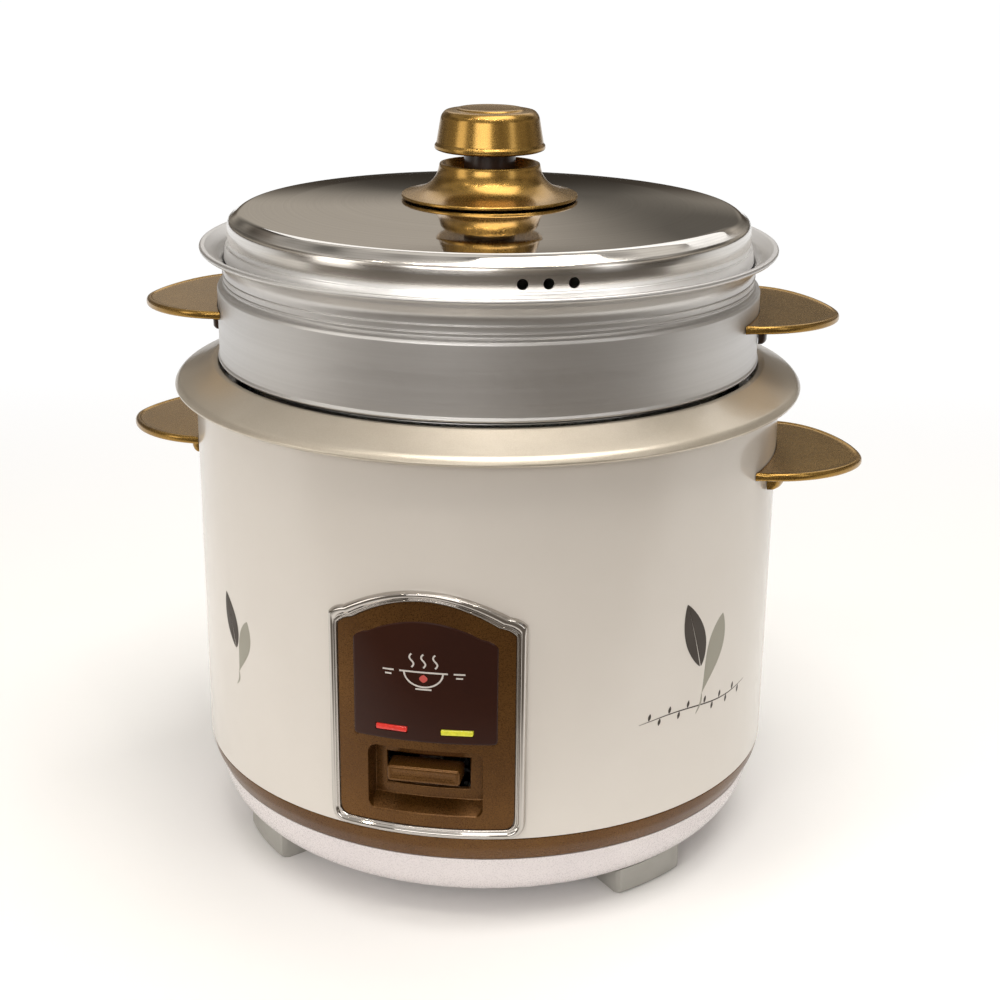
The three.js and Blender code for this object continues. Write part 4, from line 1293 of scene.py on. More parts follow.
@dataclass
class SteamerHandles(Handles):
    """The steamer's two grips, with their dark brackets and rivets."""

    body: str = "steamer"
    turn: float = 6.0
    half_width: float = 44.0
    bracket_half_width: float = 13.0
    wall: float = 1.2
    drum: float = 122.3
    reach: float = 36.0

    def build(self) -> None:
        """Build both grips, both brackets and the rivets."""
        grip_top = Levels.of("steamer_handle_right").top
        bracket = Levels.of("steamer_bracket_right")
        drum = self.drum
        paddle = Paddle(drum, drum + self.reach, self.half_width, grip_top)
        profile = [(bracket.bottom, 2.6), (bracket.bottom + 0.5, 3.4)]
        for i in range(9):
            share = i / 8
            height = bracket.bottom + 1.2 + (bracket.top - bracket.bottom - 1.2) * share
            profile.append((height, 3.8 + 5.2 * share**3))
        strap = DrumBlock(drum, self.bracket_half_width, tuple(profile))
        names = ("steamer_grip", "steamer_strap", "steamer_handle", "steamer_bracket")
        self.mount(paddle, strap, names, Finish.DARK_BROWN)
        self.rivets(drum)

    def rivets(self, drum: float) -> None:
        """A domed rivet through each bracket, with its head inside the tray."""
        place = Levels.of("steamer_rivet_right")
        height = (place.bottom + place.top) / 2
        inside = drum - self.wall
        outline = rounded([
            (0, inside - 1.7, 0), (2.6, inside - 1.5, 1.5), (3.6, inside - 0.4, 0.4),
            (3.6, inside - 0.2, 0), (2.0, inside - 0.2, 0), (2.0, drum + 4.2, 0),
            (3.6, drum + 4.2, 0.3), (3.5, drum + 4.8, 0.5), (2.2, drum + 5.6, 1.0), (0, drum + 5.7, 0),
        ])
        rivet = lathe("steamer_rivet", outline, 40)
        rivet.data.transform(Matrix.Rotation(math.pi / 2, 4, "Y"))
        rivet.data.transform(Matrix.Translation((0, 0, height * MM)))
        pair = ring_array("steamer_rivets", rivet, 2, self.turn, self.paints.get(Finish.PLATED_STEEL))
        self.dress(pair, Finish.PLATED_STEEL, "steamer_rivet_right", "steamer_rivet_left")


# ---------------------------------------------------------------- front panel


@dataclass(frozen=True)
class Arch:
    """An outline with straight sides, a level bottom, rounded lower corners and an arched top."""

    half_width: float
    bottom: float
    shoulder: float
    apex: float
    corner: float

    def outline(self, curve: int = 12, crown: int = 64, side: int = 30) -> np.ndarray:
        """Points round the outline, from the left side's foot by way of the bottom."""
        width = self.half_width

        def bend(a: Sequence[float], b: Sequence[float], c: Sequence[float], steps: int) -> list[np.ndarray]:
            """Points on a quadratic curve, without its last."""
            t = np.linspace(0, 1, steps + 1)[:-1, None]
            first, middle, last = (np.array(point, float) for point in (a, b, c))
            return list((1 - t) ** 2 * first + 2 * t * (1 - t) * middle + t**2 * last)

        def straight(a: Sequence[float], b: Sequence[float], steps: int) -> list[np.ndarray]:
            """Points on a line, without its last."""
            t = np.linspace(0, 1, steps + 1)[:-1, None]
            return list((1 - t) * np.array(a, float) + t * np.array(b, float))

        foot = self.bottom + self.corner
        rise = self.shoulder + 4
        peak = 2 * self.apex - rise
        points = [
            *bend((-width, foot), (-width, self.bottom), (-width + self.corner, self.bottom), curve),
            *straight((-width + self.corner, self.bottom), (width - self.corner, self.bottom), crown),
            *bend((width - self.corner, self.bottom), (width, self.bottom), (width, foot), curve),
            *straight((width, foot), (width, self.shoulder), side),
            *bend((width, self.shoulder), (width - 2, self.shoulder + 3), (width - 7, rise), curve),
            *bend((width - 7, rise), (0, peak), (7 - width, rise), crown),
            *bend((7 - width, rise), (2 - width, self.shoulder + 3), (-width, self.shoulder), curve),
            *straight((-width, self.shoulder), (-width, foot), side),
        ]
        return np.array(points)

    def limits(self, x: np.ndarray) -> tuple[np.ndarray, np.ndarray]:
        """The lowest and highest point of the outline at each x."""
        points = self.outline(24, 160, 4)
        middle = (self.bottom + self.shoulder) / 2
        low = points[points[:, 1] < middle]
        high = points[points[:, 1] > middle]
        low = low[np.argsort(low[:, 0], kind="stable")]
        high = high[np.argsort(high[:, 0], kind="stable")]
        sides = np.abs(x) >= self.half_width - 1e-6
        bottom = np.interp(x, low[:, 0], low[:, 1])
        top = np.interp(x, high[:, 0], high[:, 1])
        return np.where(sides, self.bottom + self.corner, bottom), np.where(sides, self.shoulder, top)

    def margin(self, x: np.ndarray, z: np.ndarray) -> np.ndarray:
        """How far inside the outline each point lies, along X or Z, whichever is less."""
        low, high = self.limits(np.clip(x[:, 0], -self.half_width, self.half_width))
        return np.minimum(self.half_width - np.abs(x), np.minimum(z - low[:, None], high[:, None] - z))


@dataclass
class FrontPanel(Assembly):
    """The chrome frame, bronze face, smoked window, lamp lenses and the printed mark."""

    half_width: float = 41.8
    shoulder_drop: float = 14.3
    bezel_width: float = 4.0
    bezel_proud: float = 3.0
    recess_half: float = 24.6
    recess_bottom: float = 57.0
    recess_top: float = 87.1
    recess_floor: float = 127.2
    slot_half: float = 17.8
    tab_round: float = 1.25
    lens_x: float = 13.9
    mark_level: float = 122.6
    lens_half: Spot = (6.7, 1.2)

    def __post_init__(self) -> None:
        """Read the panel's outline from the frame."""
        bezel = Levels.of("panel_bezel")
        self.drum = Levels.of("outer_shell").radius
        self.face_radius = -Levels.of("panel_face").low.y
        self.window_radius = -Levels.of("panel_window").low.y
        self.outer = Arch(self.half_width, bezel.bottom, bezel.top - self.shoulder_drop, bezel.top, 7)
        inner_half = self.half_width - self.bezel_width
        low, high = bezel.bottom + self.bezel_width, bezel.top - self.bezel_width
        self.inner = Arch(inner_half, low, self.outer.shoulder - 4, high, 5)
        window = Levels.of("panel_window")
        self.pane = Arch(window.high.x, window.bottom, self.outer.shoulder - 8.9, window.top, 2.2)
        self.lens_z = Levels.of("lamp_lens_red").middle

    def build(self) -> None:
        """Build every piece of the panel."""
        self.bezel()
        self.face()
        self.window()
        self.lens("red", Finish.RED_LENS, -self.lens_x)
        self.lens("amber", Finish.AMBER_LENS, self.lens_x)
        self.tab()
        self.mark()

    def bezel(self) -> None:
        """The chrome frame: a full round outside, a valley and a thin lip against the face."""
        section = rounded([
            (0.0, 0.3, 0.0), (0.0, 1.4, 0.9), (0.55, self.bezel_proud, 0.9), (1.9, self.bezel_proud, 1.0),
            (2.75, 1.95, 0.7), (3.05, 1.95, 0.15), (3.3, 2.45, 0.2), (3.75, 2.45, 0.25), (4.0, 2.0, 0.2),
            (4.0, 0.3, 0.0),
        ], closed=True, step=14)
        outer = self.outer.outline()
        inner = self.inner.outline()
        loops = []
        for share, proud in ((u / self.bezel_width, h) for u, h in section):
            flat = outer + (inner - outer) * share
            loops.append(on_front(flat[:, 0], flat[:, 1], self.drum + proud))
        piece = loft("panel_frame", loops, closed=True)
        self.dress(piece, Finish.CHROME_TRIM, "panel_bezel")

    def patch(
        self, name: str, arch: Arch, across: np.ndarray, up: np.ndarray,
        surface: Callable[[np.ndarray, np.ndarray], np.ndarray],
        back: Callable[[np.ndarray], np.ndarray],
        openings: Sequence[tuple[float, float, float, float]],
    ) -> Piece:
        """A plate on the drum's front whose rows are level low down and follow the arch above.

        Args:
            name: The piece's name.
            arch: The plate's outline.
            across: Grid lines in x.
            up: Level grid lines in z, from the bottom.
            surface: Gives the outer radius at x and z.
            back: Gives the inner radius from the outer one.
            openings: Rectangles left out, as x0, x1, z0 and z1, all on grid lines.

        Returns:
            The plate.
        """
        low, high = arch.limits(across)
        level = np.maximum(up[None, :], low[:, None])
        share = lines((0, 1, 1 / 56))[1:]
        crown = up[-1] + (high[:, None] - up[-1]) * share[None, :]
        z = np.concatenate([level, crown], axis=1)
        x = np.broadcast_to(across[:, None], z.shape)
        outer = surface(x, z)
        solid = np.ones((z.shape[0] - 1, z.shape[1] - 1), bool)
        middle_x = (across[:-1] + across[1:])[:, None] / 2
        middle_z = (z[:-1, :-1] + z[1:, 1:]) / 2
        for x0, x1, z0, z1 in openings:
            solid &= ~((middle_x > x0) & (middle_x < x1) & (middle_z > z0) & (middle_z < z1))
        return walled(name, on_front(x, z, outer), on_front(x, z, back(outer)), solid)

    def face(self) -> None:
        """The bronze plate with its finger recess, the switch slot and the seat of the window."""
        tab = Levels.of("switch_tab")
        slot = (-self.slot_half, self.slot_half, tab.bottom - 5.9, tab.top + 1.0)
        half, bottom, top = self.recess_half, self.recess_bottom, self.recess_top
        rim = self.inner
        arch = Arch(rim.half_width - FIT, rim.bottom + FIT, rim.shoulder - FIT, rim.apex - FIT, 5)
        side, low, high = slot[1:]
        wide = graded(
            0, 1.2, side - 0.9, 0.18, side, 0.18, side + 0.9, 0.7, half - 4, 0.2, half + 0.8, 1.0,
            arch.half_width - 5, 0.5, arch.half_width,
        )
        across = np.unique(np.concatenate([-wide, wide]))
        up = graded(
            arch.bottom, 0.8, bottom - 0.8, 0.2, bottom + 5.2, 0.6, low - 0.9, 0.18, low + 0.9, 1.2,
            high - 0.9, 0.18, high + 0.9, 0.6, top - 4, 0.2, top + 0.6, 0.7, top + 2,
        )
        depth = self.face_radius - self.recess_floor
        middle = (bottom + top) / 2
        corner = 4.0

        def surface(x: np.ndarray, z: np.ndarray) -> np.ndarray:
            """Outer radius of the face."""
            over_x = np.abs(x) - (half - corner)
            over_z = np.abs(z - middle) - ((top - bottom) / 2 - corner)
            outside = np.hypot(np.maximum(over_x, 0), np.maximum(over_z, 0))
            inside = corner - outside - np.minimum(np.maximum(over_x, over_z), 0)
            wall = ramp(inside / 1.5)
            lip = ramp((z - bottom) / 4.9, 0.1)
            radius = self.face_radius - depth * np.minimum(wall, lip)
            from_slot = np.maximum(np.abs(x) - side, np.maximum(low - z, z - high))
            near = np.clip(1 - from_slot / 0.7, 0, 1)
            radius = radius - 0.7 * (1 - np.sqrt(1 - near**2))
            return radius - 1.1 * ramp((self.pane.margin(x, z) - 0.9) / 0.5)

        def back(outer: np.ndarray) -> np.ndarray:
            """Inner radius of the face."""
            return np.minimum(outer - 1.2, self.drum + 0.3)

        piece = self.patch("panel_plate", arch, across, up, surface, back, [slot])
        self.dress(piece, Finish.BRONZE_PANEL, "panel_face")

    def window(self) -> None:
        """The smoked window, with a soft edge and a slot for each lens."""
        arch = self.pane
        half_x, half_z = self.lens_half[0] + 0.3, self.lens_half[1] + 0.3
        left, right = self.lens_x - half_x, self.lens_x + half_x
        wide = graded(0, 1.4, left, 1.4, right, 1.4, arch.half_width - 1.6, 0.2, arch.half_width)
        across = np.unique(np.concatenate([-wide, wide]))
        low, high = self.lens_z - half_z, self.lens_z + half_z
        up = graded(arch.bottom, 0.2, arch.bottom + 1.6, 1.0, low, 0.6, high, 1.0, high + 2)

        def surface(x: np.ndarray, z: np.ndarray) -> np.ndarray:
            """Outer radius of the window, falling off in the last half millimetre."""
            near = np.clip(1 - arch.margin(x, z) / 0.7, 0, 1)
            return self.window_radius + 0.1 - 0.6 * (1 - np.sqrt(1 - near**2))

        def back(outer: np.ndarray) -> np.ndarray:
            """Inner radius of the window."""
            return np.full_like(outer, self.window_radius - 1.1)

        holes = [(x - half_x, x + half_x, low, high) for x in (-self.lens_x, self.lens_x)]
        piece = self.patch("panel_pane", arch, across, up, surface, back, holes)
        self.dress(piece, Finish.SMOKED_WINDOW, "panel_window")

    def bar(
        self, name: str, half: Spot, corner: float, at: Spot, levels: Sequence[Spot], flat: bool,
    ) -> Piece:
        """A bar that runs along a radius, with a rounded rectangular outline.

        Args:
            name: The piece's name.
            half: Half its width and half its height.
            corner: Radius of the outline's corners.
            at: Its middle in x and z.
            levels: Inset and radius of each loop, from the back.
            flat: Whether its ends are level planes and not parts of the drum.

        Returns:
            The bar.
        """
        loops = []
        for inset, radius in levels:
            wide, high = half[0] - inset, half[1] - inset
            points = rectangle(wide, high, max(corner - inset, 0.15), 15)
            x, z = points[:, 0] + at[0], points[:, 1] + at[1]
            if flat:
                loops.append(np.stack([x, np.full_like(x, -radius), z], axis=1))
            else:
                loops.append(on_front(x, z, radius))
        return loft(name, loops)

    def lens(self, colour: str, finish: Finish, x: float) -> None:
        """One lamp lens, a little proud of the window."""
        front = self.window_radius + 0.45
        levels = [(0.0, self.drum - 3.7), (0.0, front - 0.45), (0.06, front - 0.2)]
        levels.extend([(0.2, front - 0.05), (0.45, front)])
        piece = self.bar(f"lamp_bar_{colour}", self.lens_half, 0.6, (x, self.lens_z), levels, False)
        self.dress(piece, finish, f"lamp_lens_{colour}")

    def tab(self) -> None:
        """The switch tab, with a soft front edge and a shallow dip for the fingertip."""
        place = Levels.of("switch_tab")
        front, rear = -place.low.y, -place.high.y
        half = (place.high.x, (place.top - place.bottom) / 2)
        levels = [(0.3, rear), (0.0, rear + 0.3)]
        levels.extend((inward, front - down) for inward, down in quarter(self.tab_round, 6))
        levels.extend([(1.9, front), (2.4, front - 0.25), (3.0, front - 0.35)])
        piece = self.bar("switch_key", half, 1.6, (0.0, (place.top + place.bottom) / 2), levels, True)
        self.paints.dress(piece, Finish.BRONZE_PANEL, "switch", "switch_tab")

    def mark(self) -> None:
        """A small bowl with steam over it, printed on the window."""
        radius = self.window_radius + 0.12
        level = self.mark_level
        turn = np.linspace(math.pi, 2 * math.pi, 25)
        bowl = np.stack([8.2 * np.cos(turn), level + 6.6 * np.sin(turn)], axis=1)
        brim = np.array([(-10.2 + 20.4 * i / 12, level) for i in range(13)])
        foot = np.array([(-3.4 + 6.8 * i / 6, level - 7.6) for i in range(7)])
        strokes = [bowl, brim, foot]
        for shift in (-5.0, 0.0, 5.0):
            rise = np.linspace(0, 1, 15)
            strokes.append(
                np.stack([shift + 0.9 * np.sin(rise * 2 * math.pi), level + 2.0 + 6.0 * rise], axis=1)
            )
        for side in (-1, 1):
            for row, (start, end) in enumerate(((12.6, 17.4), (13.6, 16.4))):
                run = np.linspace(start, end, 7) * side
                strokes.append(np.stack([run, np.full_like(run, level - 1.8 * row)], axis=1))
        pieces = [ribbon(f"stroke_{i}", path, 0.36, radius, radius) for i, path in enumerate(strokes)]
        mark = merge_into("window_print", *pieces)
        self.dress(mark, Finish.PRINT_LIGHT)
        base, tip = (0.0, level - 4.6), (0.0, level - 1.1)
        sun = leaf_patch("window_print_dot", base, tip, 1.75, 1.75, 0.5, radius, radius)
        self.dress(sun, Finish.PRINT_RED)


def printed(name: str, flat: np.ndarray, radius: float, wrap_radius: float) -> Piece:
    """A thin skin on a drum, from a grid of lengths along it and heights."""
    levels = (radius, radius - PRINT_THICKNESS)
    outer, inner = (round_drum(flat[..., 0], flat[..., 1], level, wrap_radius) for level in levels)
    return walled(name, outer, inner)


def ribbon(
    name: str, path: np.ndarray, half_width: float, radius: float, wrap_radius: float,
    taper: bool = False,
) -> Piece:
    """A thin printed stroke that lies on a drum.

    Args:
        name: The piece's name.
        path: Length along the drum and height of each point.
        half_width: Half the stroke's width.
        radius: Radius of the stroke's outer face.
        wrap_radius: Radius on which lengths are measured.
        taper: Whether both ends run out to a point.

    Returns:
        The stroke, as a thin closed sheet.
    """
    path = np.asarray(path, float)
    along = np.gradient(path, axis=0)
    along /= np.linalg.norm(along, axis=1)[:, None]
    side = np.stack([-along[:, 1], along[:, 0]], axis=1)
    share = np.linspace(0, 1, len(path))
    width = half_width * (np.sqrt(np.sin(math.pi * share.clip(0.02, 0.98))) if taper else np.ones(len(path)))
    across = np.array([-1.0, 0.0, 1.0])
    flat = path[:, None, :] + side[:, None, :] * (width[:, None] * across[None, :])[..., None]
    return printed(name, flat, radius, wrap_radius)


def leaf_patch(
    name: str, base: Spot, tip: Spot, left: float, right: float, fullest: float, radius: float,
    wrap_radius: float, bend: float = 0.0, side: int = 0,
) -> Piece:
    """A printed leaf that lies on a drum, or one half of it.

    Args:
        name: The piece's name.
        base: Length along the drum and height of its lower end.
        tip: The same for its point.
        left: Its greatest width to the left of its midline.
        right: Its greatest width to the right.
        fullest: The share of its length at which it is widest.
        radius: Radius of its outer face.
        wrap_radius: Radius on which lengths are measured.
        bend: How far its midline bows to the right.
        side: -1 or 1 for the left or right half only, 0 for the whole leaf.

    Returns:
        The leaf, as a thin closed sheet.
    """
    start, end = np.array(base, float), np.array(tip, float)
    axis = end - start
    length = np.linalg.norm(axis)
    axis /= length
    rightward = np.array((axis[1], -axis[0]))
    t = (1 - np.cos(np.linspace(0, math.pi, 45))) / 2
    power = math.log(0.5) / math.log(fullest)
    width = np.sin(math.pi * t**power).clip(0) ** 0.8
    middle = start + axis * (t * length)[:, None] + rightward * (bend * np.sin(math.pi * t))[:, None]
    reach = {0: np.linspace(-1, 1, 17), -1: np.linspace(-1, 0, 9), 1: np.linspace(0, 1, 9)}[side]
    amount = np.where(reach < 0, reach * left, reach * right)
    flat = middle[:, None, :] + rightward * (width[:, None] * amount[None, :])[..., None]
    return printed(name, flat, radius, wrap_radius)


# ---------------------------------------------------------------- printed leaves


@dataclass
class LeafPrint(Assembly):
    """The two sprigs printed on the shell, and the row of beads under the right one."""

    lift: float = 0.06

    def build(self) -> None:
        """Print both sprigs."""
        self.drum = Levels.of("outer_shell").radius
        self.sprig("right", 1.0)
        self.sprig("left", -1.0)
        self.beads()

    def spot(self, azimuth: float, height: float) -> Spot:
        """Length along the drum and height of a point at an azimuth in degrees."""
        return math.radians(azimuth) * self.drum, height

    def sprig(self, name: str, side: float) -> None:
        """One dark leaf in front of one grey leaf and its stem.

        Args:
            name: right or left.
            side: 1 for the right sprig, -1 for the left one.
        """
        on_top = self.drum + self.lift + 0.05
        below = self.drum + self.lift
        if side > 0:
            dark_base, dark_tip = self.spot(54.6, 110), self.spot(50.4, 141)
            grey_base, grey_tip = self.spot(55.4, 96.5), self.spot(61.0, 130.5)
            stem_end = self.spot(53.9, 88)
        else:
            dark_base, dark_tip = self.spot(-44.9, 108), self.spot(-48.3, 132)
            grey_base, grey_tip = self.spot(-44.0, 97), self.spot(-40.4, 123.5)
            stem_end = self.spot(-45.0, 90.5)
        scale = 1.0 if side > 0 else 0.8
        halves = [
            leaf_patch(
                f"half_{half}", (dark_base[0] + shift, dark_base[1]), dark_tip, left * scale, right * scale,
                fullest, on_top, self.drum, 0.4, edge,
            )
            for half, shift, left, right, fullest, edge in (
                ("left", -0.25, 5.6, 0, 0.5, -1), ("right", 0.35, 0, 6.2, 0.42, 1)
            )
        ]
        dark = merge_into(f"leaf_dark_{name}", *halves)
        self.dress(dark, Finish.LEAF_INK)
        left, right = 5.4 * scale, 6.0 * scale
        grey = leaf_patch("grey_blade", grey_base, grey_tip, left, right, 0.62, below, self.drum, 0.6)
        run = np.linspace(0, 1, 20)[:, None]
        path = np.array(stem_end) * (1 - run) + np.array(grey_base) * run
        path[:, 0] += 1.2 * np.sin(run[:, 0] * math.pi)
        stem = ribbon("grey_stem", path, 0.55, below, self.drum, True)
        whole = merge_into(f"leaf_grey_{name}", grey, stem)
        self.dress(whole, Finish.LEAF_GREY)

    def beads(self) -> None:
        """A row of small printed beads on a thin tendril, in place of lettering."""
        run = np.linspace(0, 1, 60)
        start, end = self.spot(40.0, 0)[0], self.spot(71.0, 0)[0]
        along = start + (end - start) * run
        height = 91.2 + 1.3 * np.sin(run * 2 * math.pi)
        path = np.stack([along, height], axis=1)
        radius = self.drum + self.lift
        pieces = [ribbon("tendril", path, 0.28, radius, self.drum, True)]
        for i in range(1, 13):
            at = (along[i * 59 // 13], height[i * 59 // 13])
            if abs(at[0] - self.spot(54.4, 0)[0]) < 3.2:
                continue
            lean = 0.8 if i % 2 else -0.8
            sign = 1 if i % 2 else -1
            pieces.append(
                leaf_patch(f"bead_{i}", (at[0], at[1] + 0.3 * sign), (at[0] + lean, at[1] + 3.6 * sign), 0.75,
                           0.75, 0.5, radius, self.drum)
            )
        row = merge_into("tendril_print", *pieces)
        self.dress(row, Finish.LEAF_INK)


# ---------------------------------------------------------------- pot, steamer and lid


@dataclass
class Pot(Assembly):
    """The deep inner pot."""

    body: str = "inner_pot"
    radius: float = 110.0
    wall: float = 1.5
    corner: float = 16.0

    def build(self) -> None:
        """Build the pot, with a rolled edge to its rim."""
        place = Levels.of("inner_pot")
        inside = self.radius - self.wall
        rim = place.radius
        outline = rounded([
            (0, place.bottom, 0), (self.radius, place.bottom, self.corner),
            (self.radius, place.top - self.wall, 1.2), (rim - 0.2, place.top - self.wall, 0.7),
            (rim - 0.2, place.top, 0.7), (inside, place.top, 1.8),
            (inside, place.bottom + self.wall, self.corner - self.wall),
            (0, place.bottom + self.wall, 0),
        ], step=6)
        self.dress(lathe("pot_shell", outline), Finish.MILL_ALUMINIUM, "inner_pot")


@dataclass
class Steamer(Assembly):
    """The aluminium steamer tray with its perforated floor."""

    body: str = "steamer"
    wall: float = 1.2
    drum: float = 122.3
    neck: float = 119.5
    lower: float = 106.5
    floor_edge: float = 94.0
    seat_bead: float = 0.9

    def build(self) -> None:
        """Build the wall and the floor."""
        place = Levels.of("steamer_tray")
        seat = Levels.of("inner_pot").top + 0.3
        ledge = seat + 33.4
        neck_top = ledge + 7.3
        rim = place.top - 1.3
        wall = self.wall
        drum, neck, lower = self.drum, self.neck, self.lower
        outside: list[Corner] = [
            (self.floor_edge, place.bottom, 0), (lower, place.bottom, 8), (lower, seat, 1.0),
            (drum - 0.9, seat, 0.6), (drum + self.seat_bead, seat + 1.3, 1.0), (drum, seat + 2.7, 0.8),
            (drum, ledge - 1.3, 1.2), (drum - 0.5, ledge - 0.1, 0.7), (neck + 0.6, ledge + 0.35, 0.6),
            (neck, ledge + 1.2, 0.5), (neck, ledge + 2.0, 0.3), (neck + 0.55, ledge + 2.6, 0.45),
            (neck, ledge + 3.2, 0.3), (neck, neck_top - 2.2, 0.3), (neck + 0.45, neck_top - 1.7, 0.4),
            (neck, neck_top - 1.2, 0.3), (neck, neck_top + 2.2, 6.0), (neck + 3.2, neck_top + 6.4, 4.0),
            (neck + 7.2, rim - 1.0, 0.6), (neck + 9.0, rim - 1.3, 0.9), (neck + 10.2, rim - 0.1, 1.1),
            (neck + 9.6, rim + 1.3, 1.1), (neck + 7.6, rim + 1.1, 1.0),
        ]
        inside: list[Corner] = [
            (neck + 2.4, neck_top + 7.6, 5.0), (neck - wall, neck_top + 2.6, 6.0),
            (neck - wall, ledge - 0.6, 0.6), (drum - wall, ledge - 2.2, 1.0),
            (drum - wall, seat + wall, 1.0), (lower - wall, seat + wall, 1.2),
            (lower - wall, place.bottom + wall, 6.8), (self.floor_edge, place.bottom + wall, 0),
        ]
        outline = rounded([*outside, *inside], closed=True, step=10)
        shell = lathe("steamer_wall", outline)
        self.dress(shell, Finish.SATIN_ALUMINIUM, "steamer_tray")
        flat = [
            (0, place.bottom), (self.floor_edge + 0.02, place.bottom),
            (self.floor_edge + 0.02, place.bottom + wall), (0, place.bottom + wall),
        ]
        material = self.paints.get(Finish.SATIN_ALUMINIUM)
        floor = perforated(lathe("steamer_floor", flat, 120), 27.0, 2.4, 3, place.bottom + wall / 2, material)
        self.dress(floor, Finish.SATIN_ALUMINIUM, "steamer_tray")


